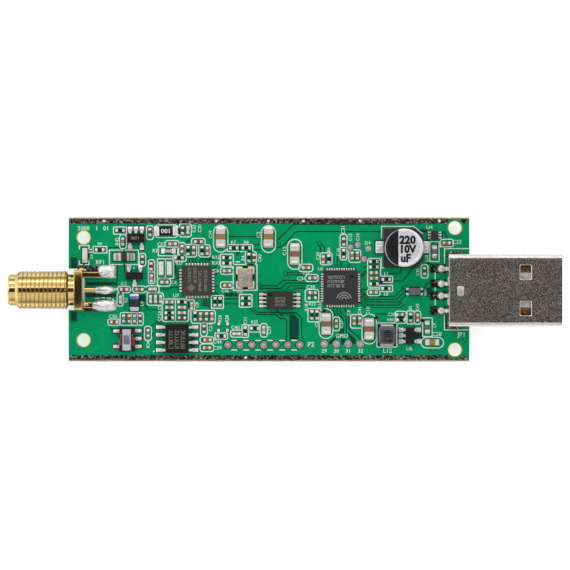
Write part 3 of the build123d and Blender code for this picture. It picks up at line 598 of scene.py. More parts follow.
resin = plain_surface("cloudy_resin", (240, 232, 222), (222, 200, 192), 0.5, (0.2, 0.35), 0, 0.15, 0.2,
                      coat=0.3)
gloss_black = plain_surface("black_glaze", (18, 18, 20), (9, 9, 11), 0.3, (0.25, 0.38), 0, 0.2, 0.1,
                            coat=0.2)
# Near black: painted shade for the inside of small holes
painted_hole_shade = plain_surface("via_hole_painted_shade", (12, 10, 8), (4, 4, 4), 0.2, (0.5, 0.7), 0, 0.2, 0.1)
ferrite = plain_surface("dark_ferrite", (54, 56, 58), (38, 39, 41), 0.3, (0.35, 0.5), 0.1, 0.5, 0.08, 0.015)
inductor_face = plain_surface("inductor_face", (66, 67, 68), (50, 51, 52), 0.3, (0.45, 0.6), 0, 0.4, 0.08,
                              0.01)
silver_ferrite = plain_surface("silver_ferrite_rim", (122, 125, 128), (84, 87, 90), 0.3, (0.3, 0.45), 0.6,
                               0.4, 0.08, 0.01)
banded_metal = plain_surface("banded_bead_metal", (238, 235, 228), (72, 66, 64), 0.3, (0.25, 0.4), 0.3, 0.2,
                             0.1, stretch=(1, 0.05, 0.2))
core_ferrite = plain_surface("grey_ferrite", (202, 207, 214), (166, 172, 182), 0.6, (0.25, 0.4), 0, 0.3,
                             0.1)
core_window = plain_surface("grey_ferrite_window", (122, 128, 140), (96, 102, 114), 0.5, (0.3, 0.45), 0,
                            0.3, 0.1)
choke_grey = plain_surface("choke_grey", (104, 106, 112), (86, 88, 94), 0.4, (0.35, 0.5), 0, 0.4, 0.1)
blue_glaze = plain_surface("blue_glaze", (92, 140, 200), (52, 98, 168), 0.4, (0.25, 0.4), 0, 0.2, 0.1,
                           coat=0.3)
violet_glaze = plain_surface("violet_glaze", (214, 216, 238), (176, 180, 214), 0.4, (0.25, 0.4), 0, 0.2,
                             0.1, coat=0.3)
enamel = plain_surface("red_enamel", (206, 84, 48), (150, 42, 26), 0.3, (0.18, 0.3), 0, 0.2, 0.1, coat=0.5)
brown_mark = plain_surface("brown_mark", (118, 108, 78), (98, 88, 62), 0.2, (0.4, 0.55), 0, 0.2, 0.08)

# Fired ceramics by shade, in the order that CHIP_SHADES and PALE_SHADES name them
brown_ceramic = tinted_surface(
    "brown_ceramic",
    [(178, 115, 76), (160, 122, 80), (104, 58, 44), (116, 104, 58), (168, 72, 58),
     (184, 122, 104), (142, 100, 84)],
    0.3, (0.35, 0.5),
)
pale_ceramic = tinted_surface(
    "pale_ceramic",
    [(206, 200, 194), (192, 142, 146), (132, 130, 138), (190, 172, 136)],
    0.3, (0.35, 0.5),
)


def scuffed_metal(name, light, dark, bright, speck, rough, streak=(1, 1, 1), bump=0.5, shadow=0.7):
    """Matte plating with a fine pebbled grain, dark pits and faint scratches."""
    make = Maker(name)
    specks = make.noise(speck, 5)
    coarse = make.noise(speck * 5, 4, streak)
    shade = make.ramp(specks, [(0.34, colour(*dark)), (0.5, colour(*light)), (0.7, colour(*bright))])
    clouds = make.ramp(coarse, [(0.3, (shadow, shadow * 0.98, shadow * 0.97, 1)), (0.7, grey(1))])
    make.bump(make.mix(0.3, specks, coarse), bump, 0.01)
    gloss = make.spread(specks, rough[0], rough[1])
    return make.set(Base_Color=make.mix(1.0, shade, clouds, "MULTIPLY"), Roughness=gloss, Metallic=1.0)


def shell_surface():
    """Folded nickel sheet: flat walls scuffed and dark, partly as painted shade; rounded edges painted
    bright as painted highlight.
    """
    make = Maker("shell_nickel")
    specks = make.noise(0.15, 5)
    pits = make.ramp(specks, [(0.36, colour(68, 62, 58)), (0.5, colour(124, 117, 110)),
                              (0.66, colour(190, 184, 177))])
    clouds = make.blotches(2.4, (0.8, 0.79, 0.78, 1), grey(1), 4, 0.3, (0.3, 1, 1))
    hue = make.blotches(2.2, (1.0, 0.93, 0.91, 1), (0.94, 1.0, 0.97, 1), 3, 0.35)
    scuffed = make.mix(1.0, make.mix(1.0, pits, clouds, "MULTIPLY"), hue, "MULTIPLY")
    level = make.facing("Z")
    flat = make.spread(level, 0.0, 1.0, 0.955, 0.985)
    # The walls take the top's dark scuffed colour, which also serves as painted shade along the shell's
    # outline
    wall = make.spread(level, 1.0, 0.0, 0.1, 0.4)
    # Painted highlight: the brighter colour of the rounded edges, between the flat top and the walls
    bright = make.blotches(0.5, colour(208, 203, 196), colour(234, 230, 224))
    make.bump(specks, 0.5, 0.01)
    shade = make.mix(wall, make.mix(flat, bright, scuffed), scuffed)
    return make.set(Base_Color=shade, Roughness=make.spread(specks, 0.3, 0.45), Metallic=0.9)


# Nickel for the plug's shell, with a painted highlight on its rounded edges
shell_nickel = shell_surface()


def side_shaded_barrel_surface():
    """Gold plate with its two flanks painted darker and bluer: painted shade for darker reflections there.
    """
    make = Maker("side_shaded_barrel_gold")
    shade = make.blotches(0.8, colour(216, 182, 108), colour(234, 206, 142))
    level = make.spread(make.facing("Z"), 0.0, 1.0, 0.35, 0.75)
    # Painted shade: faces that look sideways get a darker, bluer colour
    painted_flank_shade = make.ramp(level, [(0.0, (0.36, 0.38, 0.44, 1)), (1.0, grey(1))])
    make.bump(make.noise(0.05, 4), 0.1, 0.01)
    return make.set(Base_Color=make.mix(1.0, shade, painted_flank_shade, "MULTIPLY"), Metallic=1.0,
                    Roughness=make.spread(make.noise(0.5), 0.09, 0.16))


# Gold for the jack's body, with painted shade on its flanks
side_shaded_barrel_gold = side_shaded_barrel_surface()
# Nickel painted near white for the window rims, the shell's end strip and the lock bump: a painted
# highlight where these edges catch the light
highlight_painted_nickel = scuffed_metal("nickel_edge_painted_highlight", (252, 249, 244), (230, 226, 220), (255, 254, 252), 0.3,
                              (0.35, 0.45))
tin_strip = scuffed_metal("scuffed_tin", (104, 103, 100), (34, 35, 36), (224, 220, 214), 0.3, (0.28, 0.45),
                          (0.12, 1, 1), 0.7, 0.42)
dark_pad = scuffed_metal("dark_bare_pad", (60, 52, 50), (22, 19, 19), (170, 164, 160), 0.3, (0.3, 0.45),
                         (1, 1, 1), 0.7, 0.5)
lid_metal = scuffed_metal("lid_metal", (214, 205, 192), (172, 163, 151), (234, 226, 214), 0.25, (0.35, 0.5))
can_metal = plain_surface("can_aluminium", (238, 238, 240), (214, 214, 217), 0.25, (0.35, 0.45), 0.5, 0.25,
                          0.12, 0.01, stretch=(0.05, 1, 1))

# ------------------------------------------------------------------ board
def dress(node, material):
    """A CAD node that keeps its own shape."""
    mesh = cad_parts[node].data
    mesh.materials.clear()
    mesh.materials.append(material)


for node, material in {
    "circuit_board": mask, "ground_strips": tin_strip, "hole_rims": rim_gold, "usb_pads": dark_pad,
    "jack_insulator": white_plastic, "usb_shell": shell_nickel, "usb_insulator": grey_plastic,
    "usb_contacts": lead_metal, "memory_leads": lead_metal, "amplifier_leads": lead_metal,
    "small_package_leads": lead_metal, "bulk_capacitor_roll": can_metal,
    "bulk_capacitor_seal": black_plastic, "power_inductor_terminals": solder, "balun_base": black_plastic,
}.items():
    dress(node, material)

# Plated rim beyond the strips, above and below, and tinned strips under the board
rim = Shape()
under_strips = Shape()
for side in (1, -1):
    low, high = span(0, side, HALF_WIDTH - 0.25, HALF_WIDTH - 0.005)
    for z0, z1 in ((0, MASK), (UNDER - MASK, UNDER)):
        block(rim, -HALF_LENGTH + 0.05, HALF_LENGTH - 0.1, low, high, z0, z1, 0.02, 0.004)
    low, high = span(0, side, 10.95, 11.75)
    block(under_strips, -HALF_LENGTH + 0.3, 29.2, low, high, UNDER - STRIP_TOP, UNDER, 0.05, 0.01)
piece("plated_edges", rim, pale_gold)
piece("under_strips", under_strips, tin_strip)

# Vias: white domes in the strips as painted highlight, bare rings, and painted shade in open holes and
# small tented dimples
WHITE_VIAS = [(-27.5, 11.4), (-8.8, 11.4), (-0.1, 11.4), (5.75, 11.4), (15.2, 11.4), (28.4, 11.4),
              (-3.9, -11.35)]
STRIP_RINGS = [(x, 11.3) for x in (-32.0, -22.4, -19.45, -15.6, -12.1, -5.2, -2.65, 2.5, 8.8, 11.9)]
STRIP_RINGS += [(x, -11.3) for x in (-31.6, -28.4, -25.2, -22, -19, -16.2, -12.85, -10)]
STRIP_RINGS += [(x, -11.3) for x in (-6.9, 3.2, 9.6, 13.1, 20.4, 26.5)]
OPEN_VIAS = [(9.15, -3.55), (17.93, -4.7), (25.56, -5.18), (18.68, 1.15)]
RING_VIAS = [(-13.5, 7.9), (-10.92, -2.33), (-9.95, -6.2), (-5.2, 6.0)]
TENTED_VIAS = [
    (-32.6, 9.8), (-28.6, 9.2), (-25.9, 8.7), (-32.4, 7.35), (-27.35, 5.45), (-30.9, -4.5), (-29.0, -4.5),
    (-30.85, -6.0), (-27.9, -6.0), (-31.75, -10.15), (-28.3, -10.15), (-20.4, -4.2), (-19.3, -4.5),
    (-16.45, -1.0), (-7.1, -2.55), (-10.9, 9.1), (5.8, 6.75), (-1.65, 2.15), (3.3, 1.95), (0.85, 1.3),
    (-2.8, -4.7), (-5.6, -5.35), (0.8, -5.35), (-1.85, -7.7), (6.35, -7.7), (7.6, -10.35), (15.9, 8.65),
    (9.4, 8.1), (17.55, 6.0), (19.7, -3.3), (12.1, -10.35), (16.5, -10.35), (21.4, -10.35), (28.3, -5.45),
    (30.9, -7.2), (32.7, -8.8), (26.95, -10.3), (24.3, -1.6), (22.8, -3.3), (23.8, 1.4), (27.9, 10.2),
    (-19.2, 6.3), (1.1, 9.9), (6.6, 9.3), (-26.9, 2.6),
]
via_glint_domes, via_rings, via_hole_shade = Shape(), Shape(), Shape()
# Painted highlight: white domes where light glints on the strips' vias
for x, y in WHITE_VIAS:
    lathe(via_glint_domes, [(0.24, STRIP_TOP), (0.22, 0.075), (0.1, 0.09), (0.02, 0.095)], x, y, 16)
for x, y in STRIP_RINGS:
    disc(via_rings, x, y, 0.24, STRIP_TOP, 0.055, 0.15, 16)
    disc(via_hole_shade, x, y, 0.15, 0.035, 0.045, steps=12)
for x, y in OPEN_VIAS:
    disc(via_rings, x, y, 0.34, 0, 0.03, 0.27, 18)
    disc(via_hole_shade, x, y, 0.27, 0, 0.035, steps=16)
for x, y in TENTED_VIAS:
    disc(via_hole_shade, x, y, 0.1, 0, MASK, steps=12)
tented_rings = Shape()
for x, y in RING_VIAS:
    disc(tented_rings, x, y, 0.36, 0, 0.018, 0.26, 20)
    disc(via_hole_shade, x, y, 0.15, 0, 0.02, steps=14)
piece("via_painted_glint_domes", via_glint_domes, white_ceramic)
piece("via_rings", via_rings, gold)
# Dark discs over the via holes and dimples: painted shade inside them
piece("via_painted_shade", via_hole_shade, painted_hole_shade)
piece("tented_via_rings", tented_rings, gap_mask)

# Places with no copper under the mask, which show dark: the launch, the sides of it, and odd corners
BARE_AREAS = [
    (-33.0, -32.0, 3.55, 5.35), (-33.0, -32.0, -5.4, -3.65), (-30.5, -25.2, 0.65, 1.25),
    (-30.5, -25.2, -1.3, -0.7), (26.2, 27.2, -0.9, 0.3), (18.7, 20.3, 0.75, 1.05),
    (-21.6, -20.6, -2.1, -0.9), (23.9, 25.6, -8.2, -6.9), (-7.4, -4.9, -1.2, -0.55),
    (-13.0, -12.3, -9.6, -7.9), (-22.2, -21.6, -9.1, -7.6), (-3.2, -2.3, 1.7, 2.6), (25.4, 26.3, 9.5, 10.0),
    (-18.9, -17.9, -5.4, -5.2), (29.2, 29.7, -6.6, -4.3),
]
bare = Shape()
for x0, x1, y0, y1 in BARE_AREAS:
    bare.skin([outline(x0, x1, y0, y1, 0.06, z) for z in (0, BARE_LIFT)])
# The gap in the pour above the header row, and the wedges between the port pads
for corners in (
    [(3.4, -4.4), (3.4, -8.35), (4.95, -8.35), (4.95, -4.95), (4.35, -4.3), (2.9, -4.3)],
    [(11.1, -8.1), (10.6, -8.3), (10.0, -8.8), (10.05, -9.2), (10.45, -9.15), (10.75, -8.55),
     (11.15, -8.2)],
    [(11.98, -8.2), (12.0, -9.2), (12.45, -9.2), (12.57, -8.85), (12.85, -8.2)],
    [(13.21, -7.09), (13.25, -7.9), (13.7, -8.6), (14.09, -9.2), (14.5, -8.96), (14.32, -8.2)],
    [(11.95, -6.6), (11.95, -7.3), (12.25, -7.3), (12.25, -6.6)],
):
    bare.skin([[(x, y, z) for x, y in corners] for z in (0, BARE_LIFT)])
piece("bare_laminate", bare, dark_mask)


# Gaps between copper areas, which show as fine dark lines
TRACES = [
    [(-6.9, 8.8), (-0.9, 8.8)], [(1.1, 8.25), (1.5, 8.25), (4.1, 10.85), (18.6, 10.85)],
    [(1.1, 7.05), (2.1, 7.05), (4.6, 9.65), (18.6, 9.65)], [(8.75, 7.5), (9.25, 7.0), (9.25, 6.3)],
    [(8.4, 7.2), (8.6, 6.9), (8.6, 6.3)], [(5.9, 2.85), (3.0, 2.85)], [(6.0, 2.4), (3.0, 2.4)],
    [(6.0, 1.5), (2.3, 1.5), (1.4, 0.6), (-1.5, 0.6)],
    [(8.3, 1.05), (2.85, 1.05), (2.0, 0.15), (-1.6, 0.15)], [(5.9, 0.6), (3.5, 0.6), (2.95, 0.05)],
    [(5.9, 0.2), (4.6, 0.2), (4.1, -0.1)],
    [(-3.3, -3.0), (-2.1, -4.2), (1.2, -4.2), (1.9, -4.85), (2.6, -4.85), (2.95, -5.2), (2.95, -7.8),
     (2.75, -8.3)],
    [(-2.9, -2.0), (-2.9, -2.9), (-1.9, -3.85), (1.6, -3.85), (2.2, -4.4)],
    [(2.2, -3.85), (4.5, -3.85), (5.45, -4.8), (5.45, -7.9), (5.75, -8.3)],
    [(1.2, -3.4), (2.0, -4.1), (4.2, -4.1)], [(14.9, 0.0), (16.0, 0.0), (16.8, -0.2)],
    *[[(15.1, y), (15.6, y), (16.4, y - 0.85), (21.5 + bend, y - 0.85), (22.9 + bend, y + 0.55)]
      for y, bend in ((-0.35, -0.6), (-0.8, -0.2), (-1.25, 0.2))],
    [(14.9, -1.75), (15.5, -1.75), (16.3, -2.6), (21.4, -2.6), (22.2, -2.2)],
    [(14.9, -2.2), (15.3, -2.2), (16.1, -3.05), (21.8, -3.05), (22.5, -2.6)],
    *[[(10.8 + 0.55 * i, -3.0), (10.8 + 0.55 * i, -4.0 + 0.1 * i), (11.85 + 0.52 * i, -5.0 + 0.1 * i),
       (11.85 + 0.52 * i, -7.3)] for i in range(3)],
    [(11.85, -7.3), (10.2, -8.7)], [(9.5, -3.0), (9.5, -3.4), (9.2, -3.7)], [(10.15, -3.0), (10.15, -4.2)],
    [(12.7, -3.0), (12.7, -3.6), (13.3, -4.2), (13.3, -6.6), (15.2, -8.2)], [(15.8, 3.6), (17.0, 4.3)],
    [(15.2, 2.3), (16.2, 3.2)], [(15.2, 1.9), (16.4, 2.9)], [(25.1, 9.8), (26.5, 9.8)],
    [(28.4, 9.6), (29.2, 9.6), (29.5, 9.3), (29.5, 8.4)],
    [(19.9, 3.9), (22.0, 3.9), (22.0, 3.0), (21.6, 2.6), (19.9, 2.6)],
    [(24.0, 3.7), (23.6, 3.0), (22.3, 1.4), (20.6, 1.4)],
    [(25.5, 0.0), (26.0, 0.3), (26.3, 1.0), (27.0, 1.1)],
    [(25.5, -0.8), (26.2, -0.9), (26.4, -1.2), (27.0, -1.2)], [(26.2, 4.3), (27.0, 4.3)],
    [(-24.1, 4.0), (-24.1, 2.9)], [(-24.15, 6.8), (-24.15, 7.2)], [(-20.2, -3.4), (-17.9, -3.4)],
    [(-20.6, -2.6), (-20.2, -3.4)], [(-26.6, -6.0), (-26.1, -6.9)],
    [(-24.6, 7.0), (-26.4, 7.0), (-27.0, 6.7)], [(-9.4, 3.3), (-8.2, 4.4)], [(-9.3, 2.1), (-8.2, 3.0)],
    [(-9.2, 0.3), (-8.2, 0.6)], [(-9.2, -0.3), (-7.7, -1.6), (-5.0, -1.6)], [(-9.2, -0.8), (-8.0, -2.0)],
    [(-5.0, -2.4), (-7.4, -2.4)], [(-18.5, 0.05), (-16.8, 0.05), (-16.3, 0.35), (-14.9, 0.35)],
    [(-17.2, 1.0), (-16.0, 1.3), (-14.9, 1.3)], [(-15.9, 1.75), (-15.5, 1.75), (-14.9, 1.9)],
    *[[(-14.9, 3.2 - 0.5 * i), (-15.5, 3.7 - 0.45 * i), (-15.8, 4.3 - 0.5 * i)] for i in range(4)],
    *[[(-13.75 + 0.5 * i, 4.5), (-13.75 + 0.5 * i, 4.8 + 0.12 * i), (-13.9 + 0.62 * i, 5.4)]
      for i in range(4)],
    *[[(-11.7 + 0.45 * i, 4.4), (-11.5 + 0.5 * i, 4.9), (-9.9 + 0.3 * i, 6.0 - 0.35 * i)]
      for i in range(4)],
    *[[(-10.8 + 0.4 * i, -1.6), (-10.8 + 0.4 * i, -2.0), (-10.3 + 0.4 * i, -2.9 - 0.3 * i)]
      for i in range(3)],
    [(-5.4, 7.5), (-1.6, 7.5)], [(-2.7, 6.6), (-1.6, 6.6)], [(0.8, 7.6), (1.6, 7.6)],
    [(-19.8, -6.3), (-19.0, -5.6), (-17.6, -5.6)], [(-20.0, -7.9), (-19.2, -7.4)],
    [(10.3, 3.9), (10.3, 5.6), (9.9, 6.0)], [(11.4, 3.9), (11.4, 6.4)], [(12.0, 3.6), (12.0, 5.0)],
    [(13.2, 3.5), (13.5, 4.3)], [(-30.3, 5.0), (-29.6, 6.6)], [(17.9, -4.1), (21.4, -4.1)],
    [(-25.3, 4.0), (-25.3, 1.4)], [(-20.0, 5.0), (-19.3, 4.4)], [(6.6, 3.0), (6.9, 2.6)],
]
traces = Shape()
for path in TRACES:
    ribbon(traces, path, TRACE_WIDTH, 0, TRACE_LIFT)
TRACE_ENDS = [(8.4, 7.65, 0.42), (2.75, 2.62, 0.42), (-1.5, 0.6, 0.42), (-10.9, -2.4, 0.42),
              (22.6, 0.4, 0.4)]
for x, y, radius in TRACE_ENDS:
    disc(traces, x, y, radius, 0, 0.0085, radius - 0.12, 20)
piece("trace_gaps", traces, trace_mask)

# ------------------------------------------------------------------ printed outlines and labels
SILK_BOXES = [
    (-29.3, -27.0, 6.05, 7.15), (-25.9, -23.75, 9.2, 10.4), (-16.0, -13.8, 4.7, 5.7),
    (-8.1, -5.95, 3.9, 5.85), (-6.95, -4.85, 6.35, 7.45), (-4.85, -2.7, 6.3, 7.45),
    (-4.95, -2.85, -2.95, -0.85), (-9.6, -7.6, -3.15, -1.05), (-9.0, -6.9, -8.3, -7.25),
    (-4.5, -3.45, -8.0, -5.9), (-3.35, -1.5, -7.1, -5.95), (6.5, 8.6, -5.4, -3.2), (18.6, 20.6, 1.15, 2.2),
    (18.4, 20.6, -0.35, 0.7), (23.0, 24.2, -5.75, -3.6),
]
SILK_ROUNDS = [
    (-24.9, -23.75, 6.8, 9.1), (-21.6, -20.55, 3.9, 6.0), (-20.4, -19.25, 8.3, 10.6),
    (-17.3, -15.0, 7.0, 8.15), (-12.9, -10.65, 7.4, 8.5), (-18.6, -16.4, 0.55, 1.8),
    (-20.1, -19.05, 0.95, 4.95), (-25.2, -23.1, -0.55, 0.5), (-22.7, -20.5, -0.55, 0.55),
    (-20.5, -18.3, -0.5, 0.6), (-25.3, -24.3, -2.8, -0.55), (-24.8, -20.95, -6.0, -3.85),
    (-26.85, -24.9, -6.0, -4.95), (-20.75, -19.6, -8.5, -6.15), (-20.3, -17.6, -2.65, -0.55),
    (-17.8, -13.4, -5.35, -1.6), (-13.4, -12.4, -3.6, -1.7), (-13.0, -8.95, -5.65, -3.5),
    (-11.4, -10.3, -7.8, -5.6), (-11.5, -9.2, -8.95, -7.9), (-11.5, -9.2, -10.35, -9.1),
    (-8.05, -6.0, 2.5, 3.7), (-8.1, -6.0, 0.15, 1.25), (-3.95, -2.1, 4.15, 6.3), (5.0, 7.3, 2.95, 4.2),
    (6.1, 8.2, 1.3, 2.5), (6.05, 8.3, -2.1, 0.0), (-6.4, -4.4, -7.95, -6.8), (-1.4, -0.3, -7.95, -5.7),
    (8.55, 10.5, 4.1, 6.1), (11.85, 13.0, 4.9, 9.2), (13.3, 15.3, 4.5, 6.6), (16.45, 18.6, 0.35, 5.15),
    (16.4, 18.5, -1.05, 0.05), (25.35, 26.5, 1.9, 4.15), (28.55, 30.75, 7.1, 8.35),
    (10.7, 11.8, -6.9, -4.6), (13.6, 15.65, -6.45, -4.2), (21.0, 22.9, -4.7, -3.65),
    (21.0, 22.9, -5.65, -4.7), (24.25, 25.3, -5.8, -3.6), (-14.95, -12.95, 8.75, 10.95),
    (-15.05, -13.95, 5.7, 7.8), (-14.0, -12.05, 5.4, 7.5), (-11.7, -9.8, 5.4, 7.45),
]
SILK_PILLS = [
    (-9.25, -6.85, 6.2, 10.7), (-1.25, 1.1, 6.15, 10.65), (3.1, 5.5, 3.35, 8.35), (8.35, 10.65, -8.2, -3.2),
    (15.5, 17.9, -9.1, -4.1), (25.35, 29.1, -9.75, -8.0),
]
SILK_FRAMES = [
    (-18.45, -15.2, 5.6, 7.1), (-18.6, -15.9, 1.85, 5.1), (26.8, 28.35, 4.65, 7.95),
    (25.6, 27.2, -7.85, -4.75), (-5.95, -2.0, -0.15, 4.15), (18.0, 21.3, -9.6, -5.6),
]
SILK_PATHS = [
    # dividers between neighbours
    [(-19.6, 2.9), (-20.1, 2.9)], [(-19.6, 2.9), (-19.05, 2.9)], [(-22.9, -6.0), (-22.9, -3.85)],
    [(-21.95, -6.0), (-21.95, -3.85)], [(-15.6, -5.35), (-15.6, -1.6)], [(11.85, 7.0), (13.0, 7.0)],
    [(-17.25, 1.85), (-17.25, 5.1)],
    # surge bead, open where its lines pass
    [(-24.4, 6.55), (-26.6, 6.55), (-26.6, 4.15), (-24.4, 4.15)],
    [(-23.9, 6.55), (-21.75, 6.55), (-21.75, 4.15), (-23.9, 4.15)],
    # status light brackets and its lines
    [(-31.6, 6.7), (-31.6, 7.3), (-30.0, 7.3), (-30.0, 6.7)], [(-31.6, 4.75), (-31.6, 4.15), (-31.1, 4.15)],
    [(-30.6, 4.15), (-30.0, 4.15), (-30.0, 4.75)], [(-30.0, 6.65), (-29.3, 6.65)],
    [(-30.0, 6.2), (-29.3, 6.2)],
    # outline about the large marked resistor
    [(-18.6, 10.75), (-15.6, 10.75), (-14.95, 10.25), (-14.95, 9.2), (-15.6, 8.65), (-18.6, 8.65),
     (-19.3, 9.2), (-19.3, 10.25), (-18.6, 10.75)],
    # dashes about the header row
    *[[(-6.2 + 2.0 * i, y), (-5.4 + 2.0 * i, y)] for i in range(6) for y in (-8.5, -10.1)],
    # bulk capacitor corners
    [(18.75, 8.6), (18.75, 10.5), (24.1, 10.5), (25.6, 9.3)], [(18.75, 5.3), (18.75, 3.6), (19.4, 3.6)],
    # about the plug
    [(33.3, 6.8), (29.25, 6.8), (29.25, 4.35)], [(27.7, 2.75), (27.7, 1.75)], [(27.7, 0.25), (27.7, -0.2)],
    [(27.7, -1.45), (27.7, -2.5)], [(27.6, -4.05), (28.2, -4.05)],
    [(29.25, -4.1), (29.25, -6.75), (33.2, -6.75)], [(-5.5, 4.6), (-4.9, 4.6)],
    # arc over the lower leg's solder
    [(-28.9, -1.5), (-28.3, -1.42)], [(-27.9, -1.4), (-27.4, -1.4)], [(-27.0, -1.42), (-26.4, -1.5)],
    [(-26.1, -1.62), (-25.7, -1.95)],
]
LABELS = [
    # text, x, y, height, turn
    ("2000", -30.9, 10.2, 0.8, 0), ("1", -28.7, 10.2, 0.8, 0), ("01", -27.15, 10.2, 0.8, 0),
    ("R9", -28.2, 7.6, 0.55, 0), ("D9", -29.55, 5.45, 0.5, 90), ("RF1", -28.1, 4.55, 0.8, 0),
    ("R42", -25.35, 8.0, 0.65, 90), ("C53", -17.95, 7.55, 0.65, 0), ("R3", -19.0, 6.45, 0.65, 0),
    ("R27", -14.95, 4.35, 0.6, 0), ("C4", -15.85, 1.15, 0.6, 0), ("C1", -24.15, 0.95, 0.65, 0),
    ("R2", -23.85, -1.8, 0.6, 90), ("L4", -21.2, -2.4, 0.65, 90), ("C56", -26.0, -4.5, 0.65, 0),
    ("C5", -18.25, -3.05, 0.55, 90), ("C6", -18.25, -4.0, 0.55, 90), ("C7", -18.25, -4.95, 0.55, 90),
    ("U7", -15.5, -1.05, 0.65, 0), ("R36", -20.15, -9.15, 0.6, 90), ("C8", -12.0, -2.6, 0.6, 90),
    ("C44", -8.6, -8.75, 0.65, 0), ("C39", -8.6, -9.75, 0.65, 0), ("C22", -12.5, 10.15, 0.6, 90),
    ("C20", -11.55, 10.15, 0.6, 90), ("C19", -9.75, 9.15, 0.6, 90), ("R12", -8.85, 5.35, 0.65, 0),
    ("R10", -8.85, 4.4, 0.65, 0), ("C21", -9.75, -6.35, 0.6, 90), ("C61", -8.6, 3.1, 0.6, 0),
    ("C2", -1.75, 9.1, 0.7, 90), ("C12", 2.6, 6.4, 0.7, 90), ("C31", 12.35, 9.95, 0.65, 90),
    ("C15", 13.55, 8.7, 0.6, 90), ("C14", 14.8, 8.7, 0.6, 90), ("D4", 16.45, 7.75, 0.6, 0),
    ("C10", 11.55, 6.2, 0.6, 90), ("C30", 8.15, 5.55, 0.6, 90), ("R6", 9.95, 6.6, 0.6, 90),
    ("C34", 5.4, 1.8, 0.7, 0), ("C17", 6.2, 2.65, 0.5, 0), ("C38", 6.95, 0.4, 0.65, 0),
    ("R22", 7.2, -2.4, 0.6, 0), ("R18", 6.2, -3.0, 0.6, 90), ("R16", 8.45, -2.6, 0.6, 90),
    ("C3", 7.95, -5.85, 0.6, 90), ("C27", 12.1, -5.8, 0.6, 90), ("C9", 13.3, -3.9, 0.6, 90),
    ("C41", 15.1, -3.5, 0.6, 90), ("C13", 16.5, -3.6, 0.6, 90), ("C11", -3.95, -5.2, 0.6, 90),
    ("R25", -2.4, -5.45, 0.6, 0), ("C40", -5.6, -6.35, 0.65, 0), ("C29", 0.05, -6.8, 0.6, 90),
    ("R26", -8.2, -4.9, 0.6, 90), ("R28", -7.0, -4.9, 0.6, 90), ("U5", 8.6, 3.4, 0.55, 0),
    ("R4", -4.35, 5.2, 0.6, 90), ("C60", -1.55, 5.2, 0.6, 90), ("R7", -5.95, 7.85, 0.6, 0),
    ("R8", -3.8, 7.85, 0.6, 0), ("C18", -7.35, -0.25, 0.55, 0), ("C23", -4.9, -0.45, 0.45, 0),
    ("P2", 7.0, -9.15, 0.9, 0), ("GPIO", 12.15, -7.75, 0.7, 0), ("29", 9.2, -10.25, 0.7, 0),
    ("30", 11.2, -10.25, 0.7, 0), ("31", 13.2, -10.25, 0.7, 0), ("32", 15.25, -10.25, 0.7, 0),
    ("L1", 19.55, 2.6, 0.6, 0), ("L8", 19.5, -0.75, 0.6, 0), ("L12", 19.75, -10.2, 0.8, 0),
    ("U6", 23.4, -9.85, 0.7, 0), ("U4", 26.75, 10.35, 0.7, 0), ("C33", 31.3, 7.9, 0.75, 0),
    ("C28", 27.95, -7.45, 0.75, 0), ("C36", 20.4, -4.15, 0.55, 0), ("R40", 20.2, -5.05, 0.5, 0),
    ("L9", 27.55, -6.0, 0.65, 90), ("JP1", 32.1, -7.65, 0.85, 0), ("R5", 23.55, -3.1, 0.55, 90),
    ("C43", 24.75, -2.95, 0.55, 90), ("C35", 24.8, 2.9, 0.55, 90), ("L10", 26.3, 5.2, 0.6, 90),
    ("W1", 26.1, -0.6, 0.5, 90),
]
silk_lines, silk_text = Shape(), Shape()
for boxes, radius in ((SILK_BOXES, 0.08), (SILK_ROUNDS, 0.4), (SILK_PILLS, 1.15), (SILK_FRAMES, 0.03)):
    for x0, x1, y0, y1 in boxes:
        path = outline(x0, x1, y0, y1, radius, 0, 4 if radius > 0.3 else 1)
        ribbon(silk_lines, path, SILK_LINE, 0, INK, closed=True)
for path in SILK_PATHS:
    ribbon(silk_lines, path, SILK_LINE, 0, INK)
for x, y in ((-19.2, -10.35), (-22.5, 3.6), (-27.0, 3.2)):
    disc(silk_lines, x, y, 0.13, 0, INK, steps=12)
for text, x, y, size, turn in LABELS:
    letters(silk_text, text, x, y, size * 0.93, turn)
piece("silk_lines", silk_lines, silk)
piece("silk_labels", silk_text, silk)

# ------------------------------------------------------------------ chip parts
# length, width, height, end cap and solder reach of each kind of chip
SMALL = (1.0, 0.5, 0.5, 0.25, 0.2)
LARGE = (3.2, 1.55, 1.3, 1.14, 0.24)
MEDIUM = (2.0, 1.0, 0.9, 0.55, 0.22)
LARGE_PRINTED = (3.1, 1.55, 0.55, 0.45, 0.42)
SMALL_PRINTED = (1.7, 0.85, 0.5, 0.3, 0.35)
CHIP_KINDS = {
    "brown_capacitor_bodies": SMALL,
    "pale_capacitor_bodies": SMALL,
    "resistor_bodies": (1.04, 0.5, 0.38, 0.19, 0.26),
    "ferrite_bead_bodies": (1.6, 0.8, 0.8, 0.42, 0.3),
    "ceramic_inductor_bodies": (2.0, 0.85, 0.8, 0.35, 0.2),
    "surge_bead_body": (3.0, 1.35, 1.1, 0.95, 0.42),
}
